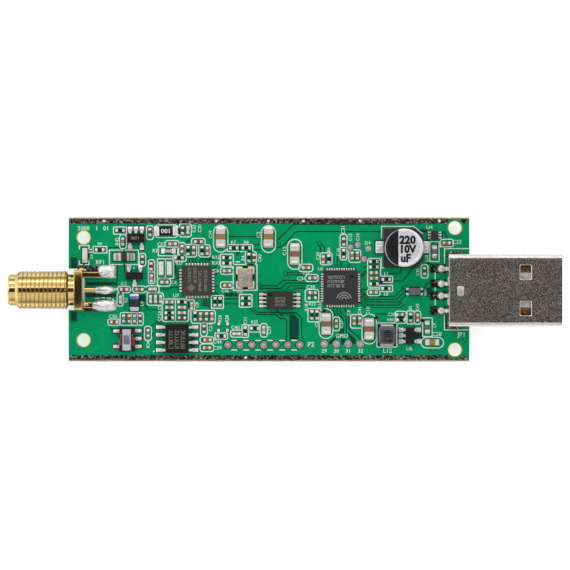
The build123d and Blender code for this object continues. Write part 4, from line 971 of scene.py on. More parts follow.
# Places of the chips that aren't orange, by the order of the ceramic's shades
CHIP_SHADES = {
    1: [(-16.06, 7.59), (-10.33, -9.73), (7.27, 1.9), (17.5, 2.78), (-21.6, 0.0), (-8.05, 8.75),
        (-0.08, 8.77), (27.2, -8.8)],
    2: [(-21.1, 5.0), (-19.85, 9.54), (-14.41, 9.8), (-2.49, 5.3), (-10.82, -6.6), (25.92, 3.06),
        (-19.65, 3.85), (-21.45, -4.85), (-11.75, 7.95), (12.45, 7.95), (-14.5, -4.75)],
    3: [(-12.57, 6.5), (-10.42, -4.5)],
    4: [(-24.15, 0.0), (-25.78, -5.44), (-23.3, -4.85)],
    5: [(-7.0, 3.1), (-9.49, -4.5), (7.3, -0.54), (15.13, -5.25), (-17.4, 1.2)],
    6: [(4.3, 5.9), (9.53, -5.75), (16.7, -6.6)],
}
PALE_SHADES = {
    1: [(-14.5, -3.0), (-16.6, -3.0), (-19.6, 1.85), (-14.5, -3.9)],
    2: [(-24.2, -4.85), (-22.4, -4.85), (-20.14, -7.27), (-16.6, -2.1), (21.8, -4.2)],
    3: [(-18.05, -1.6), (-12.87, -2.75), (-0.85, -6.75)],
}
BODY_SHARE = 0.93
clearances, tops = Shape(), Shape()


def clearing(x0, x1, y0, y1, to=None, radius=0.12):
    """The gap that copper keeps from a pad, which shows dark through the mask."""
    clearances.skin([outline(x0, x1, y0, y1, radius, 0), outline(x0, x1, y0, y1, radius, MASK)], to)


def near(x, y, places, reach=0.35):
    return any(math.hypot(x - a, y - b) < reach for a, b in places)


def shade_of(x, y, shades, count):
    """Which of a ceramic's shades a chip has, as a number from 0 to 1."""
    for index, places in shades.items():
        if near(x, y, places):
            return index / (count - 1)
    return 0.0


def chip(body, metal, x, y, turn, kind, tint):
    """One chip part: a ceramic middle, two rounded end caps, and the solder that each stands in."""
    length, width, height, cap, reach = kind
    to = placed(x, y, turn)
    end_x = length / 2
    inner = end_x - cap
    half = width / 2
    block(body, -inner - 0.05, inner + 0.05, -half + 0.02, half - 0.02, 0.04, height * BODY_SHARE, 0.02,
          0.03, to, tint)
    for side in (0, 180):
        end = placed(0, 0, side)

        def both(p, end=end):
            return to(end(p))

        if cap > 0.5:
            # On a large chip the solder climbs over the outer half of the cap in a lump
            block(tops, inner, end_x - 0.1, -half, half, 0.03, height * 0.97, 0.05, 0.06, both)
            pillow(metal, end_x - cap * 0.55, end_x + 0.1, -half - 0.02, half + 0.02, 0.03, height, 0.48,
                   0.5, 0.15, both)
        else:
            pillow(metal, inner, end_x + 0.02, -half, half, 0.03, height, 0.3, 0.3, 0.06, both)
        climb = height * chance.uniform(0.68, 0.82)
        solder_foot(metal, inner + 0.08, end_x, -half + 0.04, half - 0.04, climb, (0.0, reach, 0.08, 0.08),
                    0.0, both)
        clearing(inner - 0.05, end_x + reach + 0.1, -half - 0.13, half + 0.13, both)


def chip_rows(node):
    """Where each chip of a node lies: its middle, whether it lies along X or Y, and its kind."""
    rows = []
    for low, high in islands(node):
        wide, deep = high[0] - low[0], high[1] - low[1]
        turn = 0 if wide > deep else 90
        kind = CHIP_KINDS.get(node)
        if node == "large_capacitor_bodies":
            kind, turn = (LARGE, 90) if deep < 1.1 and wide > 1.2 else (MEDIUM, 0)
        if node == "marked_resistor_bodies":
            kind, turn = (LARGE_PRINTED, 0) if wide > 1.6 else (SMALL_PRINTED, 0)
        if node in ("ceramic_inductor_bodies", "ferrite_bead_bodies"):
            turn = 90
        if node == "surge_bead_body":
            turn = 0
        rows.append((*between(low, high), turn, kind))
    return rows


def chip_group(nodes, cap_nodes, metal_name):
    """The bodies of several CAD nodes, each its own piece, and their metal ends as one."""
    metal = Shape()
    for node, (material, slot_name) in nodes.items():
        body = Shape()
        for x, y, turn, kind in chip_rows(node):
            tint = shade_of(x, y, PALE_SHADES, 4) if "pale" in node else shade_of(x, y, CHIP_SHADES, 7)
            chip(body, metal, x, y, turn + chance.uniform(-1.5, 1.5), kind, tint)
        piece(node + "_finished", body, material, (node,))
    piece(metal_name, metal, chip_metal, cap_nodes)


chip_group({
    "brown_capacitor_bodies": (brown_ceramic, "brown_ceramic"),
    "pale_capacitor_bodies": (pale_ceramic, "pale_ceramic"),
}, ("small_capacitor_caps",), "small_capacitor_ends")
for kind_name, material, finish in (
    ("resistor", gloss_black, "black_glaze"), ("large_capacitor", brown_ceramic, "brown_ceramic"),
    ("marked_resistor", gloss_black, "black_glaze"), ("ceramic_inductor", white_ceramic, "white_ceramic"),
    ("ferrite_bead", choke_grey, "grey_ferrite"),
):
    node = kind_name + "_bodies"
    short = kind_name.replace("ferrite_", "")
    chip_group({node: (material, finish)}, (short + "_caps",), short + "_ends")
    if node == "large_capacitor_bodies":
        piece("large_cap_tops", tops, cap_cream)
low, high = box_mm("surge_bead_body")
bead_x = middle("surge_bead_body")[0]
bead_middle, bead_bands, bead_feet = Shape(), Shape(), Shape()
block(bead_middle, bead_x - 0.5, bead_x + 0.5, low.y, high.y, 0.05, high.z, 0.05, 0.12)
piece("surge_bead_finished", bead_middle, ferrite, ("surge_bead_body",))
for side in (-1, 1):
    x0, x1 = span(bead_x, side, 0.48, 1.5)
    block(bead_bands, x0, x1, low.y - 0.02, high.y + 0.02, 0.03, high.z, 0.06, 0.14)
    x0, x1 = span(bead_x, side, 1.3, 1.8)
    pillow(bead_feet, x0, x1, low.y, high.y, 0, 0.55, 0.3, 0.6, 0.1)
clearing(bead_x - 1.95, bead_x + 1.95, low.y - 0.15, high.y + 0.15)
piece("surge_bead_bands", bead_bands, banded_metal)
piece("surge_bead_feet", bead_feet, solder)
printed_values = Shape()
big, small = sorted(chip_rows("marked_resistor_bodies"), key=lambda row: -row[3][0])
for text, size, (x, y, _, kind) in (("100", 0.75, big), ("300", 0.58, small)):
    letters(printed_values, text, x, y, size, 180, kind[2] * BODY_SHARE, 0.012, 0.03, 1.1)
piece("resistor_values", printed_values, white_ink)

# ------------------------------------------------------------------ moulded chips
for node, material in {
    "demodulator_package": moulding, "tuner_package": warm_moulding, "memory_package": moulding,
    "amplifier_package": dark_moulding, "bias_switch_package": dark_moulding,
    "transistor_package": dark_moulding, "converter_package": dark_moulding, "logic_gate_package": moulding,
}.items():
    softened(node, material, 0.05)

# Bright solder on each pad about the two leadless chips
for node, package in (("demodulator_pads", "demodulator_package"), ("tuner_pads", "tuner_package")):
    shape = Shape()
    cx, cy = middle(package)
    low, high = box_mm(package)
    half = (high.x - low.x) / 2
    for a, b in islands(node):
        x, y = np.subtract(between(a, b), (cx, cy))
        turn = 90 * round(math.atan2(y, x) / (math.pi / 2))
        to = placed(cx, cy, turn)
        across = y * math.cos(math.radians(turn)) - x * math.sin(math.radians(turn))
        reach = max(abs(float(v)) for v in (a[0] - cx, b[0] - cx, a[1] - cy, b[1] - cy))
        width = min(b[0] - a[0], b[1] - a[1]) / 2 + 0.01
        pillow(shape, half - 0.05, reach + 0.03, across - width, across + width, 0, 0.2, 0.35, 0.6, 0.08,
               to)
        clearing(half + 0.05, reach + 0.14, across - width - 0.07, across + width + 0.07, to, 0.05)
    piece(node + "_wetted", shape, white_solder, (node,))

# Solder that has run up the feet of the bent leads
lead_solder = Shape()
for node, packages, spread in (
    ("memory_leads", ("memory_package",), 0.02),
    ("amplifier_leads", ("amplifier_package",), 0.42),
    ("small_package_leads",
     ("bias_switch_package", "transistor_package", "converter_package", "logic_gate_package"), 0.36),
):
    middles = [middle(package) for package in packages]
    for a, b in islands(node):
        x, y = between(a, b)
        cx, cy = min(middles, key=lambda m: math.hypot(m[0] - x, m[1] - y))
        along_x = b[0] - a[0] > b[1] - a[1]
        away = (x > cx) if along_x else (y > cy)
        turn = (0 if away else 180) if along_x else (90 if away else 270)
        half = max(b[0] - a[0], b[1] - a[1]) / 2
        width = min(b[0] - a[0], b[1] - a[1]) * (1.2 if node == "amplifier_leads" else 1.45)
        tall = float(b[2])
        scale = min(1.0, width / 0.4)
        if (cx, cy) == middle("logic_gate_package"):
            width, scale = width / 1.5, 0.2
        to = placed(x, y, turn)
        side = width / 2
        solder_foot(lead_solder, half * 0.04, half, -side, side, tall * 0.45,
                    (0.14 * scale, spread * scale, 0.09, 0.09), 0.0, to, 1.8)
        pillow(lead_solder, -half * 0.1, half + 0.05, -side - 0.03, side + 0.03, 0.02, tall * 0.52, 0.3,
               0.5, 0.06, to)
        clearing(-half + 0.2, half + spread * scale + 0.18, -side - 0.2, side + 0.2, to)
piece("lead_solder", lead_solder, solder)


def rows_of_marks(shape, x, y, turn, rows, pitch, width, z, size=0.42):
    """Lines of small strokes, as a chip's printed lot code looks."""
    to = placed(x, y, turn)
    for row in range(rows):
        v = (rows - 1) / 2 * pitch - row * pitch
        u = -width / 2
        while u < width / 2 - size * 0.4:
            kind = chance.randrange(4)
            strokes = [[(u, v - size / 2), (u, v + size / 2)]] if kind != 1 else []
            if kind in (0, 1, 3):
                strokes.append([(u, v + size / 2), (u + size * 0.45, v + size / 2)])
            if kind in (1, 2):
                strokes.append([(u + size * 0.45, v + size / 2), (u + size * 0.45, v - size / 2)])
            if kind in (2, 3):
                strokes.append([(u, v - size / 2), (u + size * 0.45, v - size / 2)])
            for path in strokes:
                start = len(shape.points)
                ribbon(shape, path, 0.1, z, z + 0.008)
                shape.points[start:] = [to(p) for p in shape.points[start:]]
            u += size * 0.75


marks, dim_marks, dots = Shape(), Shape(), Shape()
x, y = middle("demodulator_package")
z = top_of("demodulator_package")
rows_of_marks(marks, x - 0.6, y + 1.0, 0, 3, 0.72, 3.0, z)
for radius in (0.42, 0.82, 1.22):
    arc = [(x + 0.57 + radius * math.cos(a), y - 2.05 + radius * math.sin(a))
           for a in np.linspace(0.3, 2.84, 12)]
    ribbon(marks, arc, 0.15, z, z + 0.008)
disc(dots, x + 1.87, y + 1.8, 0.27, z, z + 0.006)
x, y = middle("tuner_package")
z = top_of("tuner_package")
rows_of_marks(dim_marks, x - 0.75, y + 0.9, 90, 2, 0.95, 2.4, z)
rows_of_marks(dim_marks, x + 1.0, y + 0.1, 90, 2, 0.95, 3.6, z)
tuner_mark = Shape()
disc(tuner_mark, x - 0.98, y - 1.2, 0.74, z, z + 0.008, steps=4)
disc(tuner_mark, x - 2.0, y - 2.05, 0.12, z, z + 0.008)
piece("tuner_mark", tuner_mark, brown_mark)
x, y = middle("memory_package")
z = top_of("memory_package")
rows_of_marks(dim_marks, x + 0.2, y - 0.25, 0, 3, 0.55, 1.9, z, 0.34)
disc(dots, x - 1.5, y + 0.85, 0.28, z, z + 0.006)
x, y = middle("amplifier_package")
z = top_of("amplifier_package")
rows_of_marks(dim_marks, x, y, 90, 3, 1.0, 3.2, z, 0.6)
x, y = middle("bias_switch_package")
rows_of_marks(dim_marks, x, y, 0, 1, 0.5, 1.5, top_of("bias_switch_package"), 0.45)
piece("chip_marks", marks, marking)
piece("faint_chip_marks", dim_marks, dim_marking)
piece("first_lead_dots", dots, gloss_black)

# ------------------------------------------------------------------ crystal oscillator
low, high = box_mm("oscillator_base")
lid = Shape()
block(lid, low.x + 0.16, high.x - 0.16, low.y + 0.16, high.y - 0.16, high.z - 0.02,
      top_of("oscillator_lid"), 0.22, 0.07)
piece("oscillator_lid_finished", lid, lid_metal, ("oscillator_lid",))
seal = Shape()
block(seal, low.x + 0.04, high.x - 0.04, low.y + 0.04, high.y - 0.04, low.z, high.z, 0.26, 0.05)
piece("oscillator_base_finished", seal, gold, ("oscillator_base",))
oscillator_solder = Shape()
cx, cy = middle("oscillator_base")
for sx in (1, -1):
    for sy in (1, -1):
        x0, x1 = span(cx, sx, 0.45, 1.5)
        y0, y1 = span(cy, sy, 1.3, 1.85)
        pillow(oscillator_solder, x0, x1, y0, y1, 0, 0.34, 0.25, 0.5, 0.08)
        x0, x1 = span(cx, sx, 1.1, 1.52)
        y0, y1 = span(cy, sy, 0.55, 1.85)
        pillow(oscillator_solder, x0, x1, y0, y1, 0, 0.36, 0.25, 0.5, 0.08)
clearing(low.x - 0.35, high.x + 0.35, low.y - 0.35, high.y + 0.35)
piece("oscillator_pads_wetted", oscillator_solder, solder, ("oscillator_pads",))

# ------------------------------------------------------------------ bulk capacitor
low, high = box_mm("bulk_capacitor_can")
cx, cy = middle("bulk_capacitor_can")
radius, foot, top = (high.x - low.x) / 2, low.z, high.z
can = Shape()
lathe(can, [
    (radius, foot), (radius, foot + 0.9), (radius - 0.1, foot + 0.98), (radius - 0.28, foot + 1.1),
    (radius - 0.1, foot + 1.22), (radius, foot + 1.3), (radius, top - 0.34), (radius - 0.04, top - 0.18),
    (radius - 0.13, top - 0.06), (radius - 0.27, top), (radius - 0.38, top - 0.02),
    (radius - 0.5, top - 0.1), (radius - 0.62, top - 0.12), (0.05, top - 0.11),
], cx, cy, 96)
piece("bulk_capacitor_can_finished", can, can_metal, ("bulk_capacitor_can",))
softened("bulk_capacitor_base", black_plastic, 0.08, 3)
moon = Shape()
chord = -1.0
mark_profile = [(radius - inset, top - sunk) for inset, sunk in (
    (0.03, 0.2), (0.13, 0.06), (0.27, 0), (0.38, 0.02), (0.5, 0.1), (0.62, 0.12), (1.2, 0.115),
    (2.1, 0.115))]
ARC_STEPS = 40
sheets = []
for lift in (0.0, 0.014):
    rows = []
    for r, z in mark_profile:
        start = math.acos(max(-1.0, chord / r))
        turns = np.linspace(start, 2 * math.pi - start, ARC_STEPS)
        rows.append([(cx + r * math.cos(a), cy + r * math.sin(a), min(z + lift, top)) for a in turns])
    sheets.append(rows)
points = [p for rows in sheets for row in rows for p in row]
count, sheet = ARC_STEPS, ARC_STEPS * len(mark_profile)
faces = []
for k in range(len(mark_profile) - 1):
    for i in range(count - 1):
        q = (k * count + i, k * count + i + 1, (k + 1) * count + i + 1, (k + 1) * count + i)
        faces += [q, tuple(sheet + v for v in q[::-1])]
border = list(range(count)) + [k * count + count - 1 for k in range(1, len(mark_profile))]
border += [(len(mark_profile) - 1) * count + i for i in range(count - 2, -1, -1)]
border += [k * count for k in range(len(mark_profile) - 2, 0, -1)]
faces += [(a, a + sheet, b + sheet, b) for a, b in zip(border, border[1:] + border[:1])]
moon.join(points, faces)
piece("polarity_mark", moon, black_ink)
capacitor_text = Shape()
for i, (text, right, wide) in enumerate((("220", 0.5, 1.0), ("10V", 0.5, 0.95), ("uF", 0.2, 0.95))):
    letters(capacitor_text, text, cx + right, cy + 1.3 - 1.5 * i, 1.3, 0, top - 0.11, 0.02, 0.05, wide)
piece("capacitor_value", capacitor_text, black_ink)
tabs = Shape()
for low, high in islands("bulk_capacitor_tabs"):
    outer = -1 if low[0] < cx else 1
    x0, x1 = (low[0] - 0.1, low[0] + 1.4) if outer < 0 else (high[0] - 1.0, high[0] + 0.15)
    pillow(tabs, x0, x1, low[1] - 0.05, high[1] + 0.05, 0, 0.34, 0.2, 0.4, 0.15)
    pillow(tabs, x0 + 0.3, x1 - 0.1, low[1] + 0.55, high[1] - 0.55, 0.1, 0.44, 0.3, 0.4, 0.1)
    clearing(x0 - 0.2, x1 + 0.2, low[1] - 0.25, high[1] + 0.25)
piece("bulk_capacitor_tabs_wetted", tabs, solder, ("bulk_capacitor_tabs",))

# ------------------------------------------------------------------ power inductor
low, high = box_mm("power_inductor_body")
inductor, inductor_top = Shape(), Shape()
block(inductor, low.x, high.x, low.y, high.y, low.z, high.z - 0.04, 0.42, 0.16)
block(inductor, low.x + 0.35, high.x - 0.35, high.y - 0.42, high.y - 0.2, high.z - 0.06, high.z - 0.012,
      0.08, 0.01)
piece("power_inductor_finished", inductor, silver_ferrite, ("power_inductor_body",))
block(inductor_top, low.x + 0.42, high.x - 0.3, low.y + 0.25, high.y - 0.6, high.z - 0.06, high.z - 0.012,
      0.2, 0.006)
piece("power_inductor_window", inductor_top, inductor_face)
cx, cy = middle("power_inductor_body")
value = Shape()
letters(value, "4R7", cx + 0.08, cy - 0.1, 1.33, -90, high.z - 0.012, 0.01, 0.012, 0.7)
piece("inductor_value", value, black_ink)
inductor_solder = Shape()
pillow(inductor_solder, low.x + 0.35, high.x - 0.3, high.y - 0.08, high.y + 0.3, 0, 0.5, 0.3, 0.5, 0.1)
pillow(inductor_solder, low.x + 0.5, high.x - 0.5, low.y - 0.1, low.y + 0.08, 0, 0.4, 0.3, 0.5, 0.1)
clearing(low.x - 0.15, high.x + 0.15, low.y - 0.4, high.y + 0.45)
piece("power_inductor_solder", inductor_solder, solder)

# ------------------------------------------------------------------ balun
low, high = box_mm("balun_core")
cx, cy = middle("balun_core")
core, core_top = Shape(), Shape()
block(core, low.x, high.x, high.y - 0.95, high.y, low.z, high.z, 0.12, 0.1)
block(core, low.x, high.x, low.y, low.y + 0.95, low.z, high.z, 0.12, 0.1)
block(core, low.x, high.x, low.y + 0.5, high.y - 0.5, low.z, high.z - 0.12, 0.05, 0.06)
piece("balun_core_finished", core, core_ferrite, ("balun_core",))
block(core_top, low.x + 0.16, high.x - 0.16, low.y + 1.0, high.y - 1.0, high.z - 0.16, high.z - 0.1, 0.1,
      0.02)
piece("balun_core_window", core_top, core_window)
wires = Shape()
for side in (-1, 1):
    for i in range(4):
        x = cx + side * (0.72 + 0.05 * (i % 2))
        top_y, bottom_y = cy + 0.75 - 0.16 * i, cy - 0.2 - 0.22 * i
        loop = []
        for k in range(15):
            a = math.pi * k / 14
            bulge = 0.34 * math.sin(a) + 0.03 * i
            loop.append((x + side * bulge, top_y + (bottom_y - top_y) * (1 - math.cos(a)) / 2,
                         0.75 + 0.28 * i * 0.5 + 0.5 * math.sin(a)))
        tube(wires, loop, 0.075)
    for lead_y in (cy + 1.35, cy - 1.15):
        start = (cx + side * 0.8, cy + (0.5 if lead_y > cy else -0.6), 0.9)
        end = (cx + side * 1.35, lead_y, 0.22)
        line = []
        for t in np.linspace(0, 1, 9):
            arch = np.array((0, 0, 0.25 * math.sin(math.pi * t)))
            line.append(tuple(np.add(start, np.subtract(end, start) * t) + arch))
        tube(wires, line, 0.07)
piece("balun_windings_finished", wires, enamel, ("balun_windings",))
balun_pads = Shape()
for a, b in islands("balun_leads"):
    x0, x1, y0, y1 = a[0], b[0], a[1], b[1]
    pillow(balun_pads, x0 + 0.05, x1 - 0.1, y0, y1, 0, 0.34, 0.3, 0.5, 0.12)
    pillow(balun_pads, x0 + 0.35, x1 - 0.35, y0 + 0.06, y1 - 0.06, 0.1, 0.5, 0.35, 0.5, 0.1)
    clearing(x0 - 0.12, x1 + 0.1, y0 - 0.16, y1 + 0.16)
piece("balun_leads_wetted", balun_pads, solder, ("balun_leads",))
low, high = box_mm("balun_base")
clearing(low.x - 0.1, high.x + 0.1, low.y - 0.1, high.y + 0.1)

# ------------------------------------------------------------------ chokes
low, high = box_mm("antenna_choke_body")
choke_body, choke_ends, blue_band, violet_end = Shape(), Shape(), Shape(), Shape()
block(choke_body, low.x, high.x, low.y, high.y - 0.25, low.z, high.z, 0.06, 0.06)
piece("antenna_choke_finished", choke_body, black_plastic, ("antenna_choke_body",))
block(blue_band, low.x - 0.02, high.x + 0.02, high.y - 0.3, high.y + 0.16, low.z, high.z + 0.03, 0.06, 0.08)
piece("antenna_choke_band", blue_band, blue_glaze)
block(violet_end, low.x - 0.02, high.x + 0.02, low.y - 0.36, low.y + 0.02, low.z, high.z, 0.06, 0.08)
piece("antenna_choke_end", violet_end, violet_glaze)
pillow(choke_ends, low.x - 0.04, high.x + 0.04, high.y + 0.1, high.y + 0.62, 0.02, high.z * 0.9, 0.3, 0.35,
       0.1)
pillow(choke_ends, low.x + 0.02, high.x - 0.02, low.y - 0.66, low.y - 0.3, 0.02, high.z * 0.5, 0.3, 0.35,
       0.1)
clearing(low.x - 0.2, high.x + 0.2, low.y - 0.9, high.y + 0.85)
low, high = box_mm("usb_choke_body")
usb_choke = Shape()
block(usb_choke, low.x, high.x, low.y, high.y, low.z, high.z, 0.05, 0.06)
piece("usb_choke_finished", usb_choke, choke_grey, ("usb_choke_body",))
cx, cy = middle("usb_choke_body")
for sx in (1, -1):
    for sy in (1, -1):
        x0, x1 = span(cx, sx, 0.85, 1.4)
        pillow(choke_ends, x0, x1, cy + sy * 0.42 - 0.22, cy + sy * 0.42 + 0.22, 0.02, 0.55, 0.3, 0.4, 0.08)
clearing(low.x - 0.5, high.x + 0.5, low.y - 0.15, high.y + 0.15)
piece("choke_terminals_wetted", choke_ends, chip_metal, ("choke_terminals",))

# ------------------------------------------------------------------ status light
low, high = box_mm("status_light_base")
light = Shape()
block(light, low.x, high.x, low.y + 0.35, high.y - 0.35, low.z, high.z, 0.05, 0.04)
for y0, y1 in ((low.y, low.y + 0.42), (high.y - 0.42, high.y)):
    pillow(light, low.x + 0.02, high.x - 0.02, y0, y1, 0, high.z, 0.25, 0.3, 0.06)
clearing(low.x - 0.15, high.x + 0.15, low.y - 0.2, high.y + 0.2)
piece("status_light_base_finished", light, white_ceramic, ("status_light_base",))
softened("status_light_lens", resin, 0.0)

# ------------------------------------------------------------------ soldered pads
header, port_domes, pad_rings = Shape(), Shape(), Shape()
for i, (a, b) in enumerate(islands("header_pads")):
    x, y = between(a, b)
    disc(pad_rings, x, y, 0.75, 0, 0.03, 0.6, 28)
    disc(header, x, y, 0.6, 0, 0.05, steps=28)
    disc(pad_rings, x, y, 0.45, 0.045, 0.058, 0.37, 24)
    drop(header, x, y, 0.37, 0.16, i, 0.04, 0.6, 0.03)
    disc(header, x, y, 0.62, UNDER - 0.04, UNDER, steps=28)
    drop(header, x, y, 0.5, 0.2, i + 40, UNDER - 0.03, 0.6, 0.03, rise=-1)
    turns = np.linspace(0, 2 * math.pi, 24, endpoint=False)
    clearances.skin([[(x + 0.78 * math.cos(t), y + 0.78 * math.sin(t), z) for t in turns]
                     for z in (0, MASK)])
piece("header_pads_wetted", header, pad_metal, ("header_pads",))
for i, (a, b) in enumerate(islands("port_and_test_pads")):
    x, y = between(a, b)
    r = (b[0] - a[0]) / 2
    disc(port_domes, x, y, r, 0, 0.05, steps=28)
    disc(pad_rings, x, y, r + 0.1, 0, 0.03, r, 28)
    disc(pad_rings, x, y, r * 0.72, 0.04, 0.056, r * 0.58, 24)
    drop(port_domes, x, y, r * 0.66, 0.15, i + 9, 0.04, 0.6, 0.03)
    if y < 0:
        disc(port_domes, x, y, r, UNDER - 0.04, UNDER, steps=28)
        drop(port_domes, x, y, r - 0.12, 0.2, i + 60, UNDER - 0.03, 0.6, 0.03, rise=-1)
piece("port_and_test_pads_wetted", port_domes, pad_metal, ("port_and_test_pads",))
piece("pad_rings", pad_rings, ring_metal)
empty_pads = Shape()
EMPTY_PADS = [
    (-8.4, -6.82), (-6.92, -6.8), (-8.35, -5.75), (-6.9, -5.75), (6.7, -1.45), (7.75, -1.4), (28.5, 7.2),
]
for x, y in EMPTY_PADS:
    pillow(empty_pads, x - 0.24, x + 0.24, y - 0.24, y + 0.24, 0, 0.09, 0.3, 0.6, 0.08)
    clearing(x - 0.36, x + 0.36, y - 0.36, y + 0.36)
piece("empty_pads", empty_pads, chip_metal)

# ------------------------------------------------------------------ coaxial jack
low, high = box_mm("jack_body")
front, jack_y, jack_z = low.x, (low.y + high.y) / 2, (low.z + high.z) / 2
# The thread is 1/4-36. Lengths along the jack start at its mouth.
PITCH, CREST, ROOT, GROOVE_SHARE = 0.7056, 3.175, 3.06, 0.16
THREAD_FROM, THREAD_TO, NECK, LIP = 1.25, 10.05, 2.6, 2.65
MOUTH, MOUTH_DEPTH, BORE = 2.3, 1.9, 2.05
FLANGE_AT, FLANGE_THICK = 11.05, 1.4
LEG, LEG_SPREAD, LEG_LENGTH = 0.475, 2.53, 4.6
SOCKET, CONTACT, PIN = 0.47, 0.635, 0.5


def thread_radius(x, angle):
    """The helical thread's radius, cut off by the chamfers at its two ends."""
    phase = ((x - PITCH * angle / (2 * math.pi)) / PITCH) % 1
    groove = min(1.0, max(0.0, 1 - abs(phase - 0.5) / GROOVE_SHARE) * 1.5)
    return min(CREST - (CREST - ROOT) * groove, LIP + (x - THREAD_FROM) * 0.95, NECK + (THREAD_TO - x) * 2)


def jack_point(x, r, a):
    return (front + x, jack_y + r * math.sin(a), jack_z + r * math.cos(a))


def hoops(profile, steps=112):
    """Rings about the jack's axis, from (length, radius) pairs."""
    return [[jack_point(x, r, 2 * math.pi * i / steps) for i in range(steps)][::-1] for x, r in profile]


def thread_hoop(x, steps=112):
    turns = [2 * math.pi * i / steps for i in range(steps)]
    return [jack_point(x, max(NECK, thread_radius(x, a)), a) for a in turns][::-1]


barrel = Shape()
rings = hoops([(0.0, 2.42), (0.06, 2.5), (0.28, LIP), (1.2, LIP)])
rings += [thread_hoop(x) for x in np.linspace(THREAD_FROM, THREAD_TO, 250)]
rings += hoops([
    (THREAD_TO + 0.05, NECK), (FLANGE_AT + 0.2, NECK), (FLANGE_AT + 0.2, BORE), (MOUTH_DEPTH, BORE),
    (MOUTH_DEPTH, MOUTH), (0.0, MOUTH),
])
barrel.skin(rings, loop=True)


def along_jack(p):
    """From (across, up, along) to the board's places."""
    return (front + p[2], jack_y - p[0], jack_z + p[1])


half = (high.z - low.z) / 2
flange_end = FLANGE_AT + FLANGE_THICK
block(barrel, -half, half, -half, half, FLANGE_AT, flange_end, 0.28, 0.08, along_jack, both=True)
for across in (LEG_SPREAD, -LEG_SPREAD):
    for up in (LEG - 0.5, -0.54 - THICKNESS - LEG):
        block(barrel, across - LEG, across + LEG, up - LEG, up + LEG, flange_end - 0.2,
              flange_end + LEG_LENGTH, 0.1, 0.08, along_jack, both=True)
piece("jack_body_finished", barrel, side_shaded_barrel_gold, ("jack_body",), 20)

contact = Shape()
contact.skin(hoops([
    (5.1, 0.02), (5.1, SOCKET), (4.3, SOCKET), (4.3, CONTACT), (FLANGE_AT, CONTACT), (FLANGE_AT, PIN),
    (16.2, PIN), (16.8, PIN * 0.7), (17.0, PIN * 0.3),
], 32))
for quarter in range(4):
    turns = np.radians(np.linspace(8, 82, 8) + 90 * quarter)
    fingers = []
    for x, slim in ((1.9, 0.06), (2.05, 0.0), (4.32, 0.0)):
        arc = [(CONTACT - slim, a) for a in turns] + [(SOCKET, a) for a in turns[::-1]]
        fingers.append([jack_point(x, r, a) for r, a in arc][::-1])
    contact.skin(fingers)
piece("jack_contact_finished", contact, gold, ("jack_contact",))

joints = Shape()
JACK_JOINTS = [
    (3.0, 0.05, [(-29.4, -0.1, 0.25, 0.3), (-29.0, -0.1, 0.5, 1.1), (-28.2, -0.1, 0.62, 1.22),
                 (-27.2, -0.12, 0.72, 1.28), (-26.5, -0.1, 0.6, 1.12), (-26.0, -0.05, 0.4, 0.75),
                 (-25.6, 0.0, 0.22, 0.35), (-25.3, 0.05, 0.12, 0.1)]),
    (11.0, 0.07, [(-28.5, 3.0, 0.4, 0.5), (-28.25, 3.0, 0.85, 1.08), (-27.9, 2.98, 1.05, 1.26),
                  (-27.2, 2.97, 1.1, 1.36), (-26.3, 2.95, 1.1, 1.25), (-25.75, 2.95, 1.08, 0.85),
                  (-25.42, 2.9, 1.0, 0.12)]),
    (23.0, 0.06, [(-29.7, -2.6, 0.3, 0.55), (-29.3, -2.65, 0.6, 1.1), (-28.4, -2.72, 0.9, 1.26),
                  (-27.2, -2.75, 1.0, 1.36), (-26.3, -2.75, 0.93, 1.22), (-25.7, -2.72, 0.82, 0.75),
                  (-25.35, -2.65, 0.62, 0.1)]),
]
for seed, wobble, stations in JACK_JOINTS:
    mound(joints, stations, seed, wobble=wobble)
residue = Shape()
RESIDUE_LINES = [
    [(-28.2, 2.42), (-27.8, 2.34), (-27.3, 2.38), (-26.95, 2.52), (-26.7, 2.72)],
    [(-28.05, 2.75), (-27.8, 2.9)], [(-28.8, -0.12), (-28.2, -0.16), (-27.5, -0.16), (-26.9, -0.05)],
    [(-28.5, 0.04), (-28.0, 0.1)], [(-29.2, -2.5), (-28.8, -2.58), (-28.3, -2.72)],
    [(-27.05, -3.2), (-26.9, -3.25)], [(-25.75, 2.2), (-25.55, 2.45)], [(-25.6, 3.35), (-25.5, 3.6)],
    [(-25.75, -2.2), (-25.55, -2.0)],
]
for path in RESIDUE_LINES:
    drape(residue, joints, path, 0.05)
piece("flux_residue", residue, flux)
for y in (jack_y + LEG_SPREAD, jack_y - LEG_SPREAD):
    stations = [(-29.0, y, 0.5, 0.3), (-28.4, y, 0.9, 0.98), (-27.0, y, 1.0, 1.05), (-26.0, y, 0.85, 0.8),
                (-25.5, y, 0.5, 0.1)]
    mound(joints, stations, 31.0 + y, UNDER, 0.1, -1)
piece("jack_joints", joints, solder, ("jack_solder",))
launch_pads, gold_lump = Shape(), Shape()
LAUNCH_PADS = [
    (-31.9, -27.9, 2.95, 3.95, 0.03), (-30.9, -28.6, -3.75, -3.0, 0.03),
    (-31.0, -25.6, -3.6, -1.9, UNDER), (-31.0, -25.6, 1.7, 3.5, UNDER),
]
for x0, x1, y0, y1, z1 in LAUNCH_PADS:
    block(launch_pads, x0, x1, y0, y1, z1 - 0.03, z1, 0.08, 0.01)
piece("launch_pads", launch_pads, tin_strip)
mound(gold_lump, [(-31.95, 3.05, 0.25, 0.2), (-31.5, 3.15, 0.48, 0.75), (-31.0, 3.2, 0.42, 0.6),
                  (-30.45, 3.2, 0.2, 0.1)], 5.0, wobble=0.06)
mound(gold_lump, [(-31.2, -2.65, 0.45, 0.95), (-30.7, -2.6, 0.55, 1.08), (-30.0, -2.55, 0.45, 1.02)], 8.0,
      wobble=0.08)
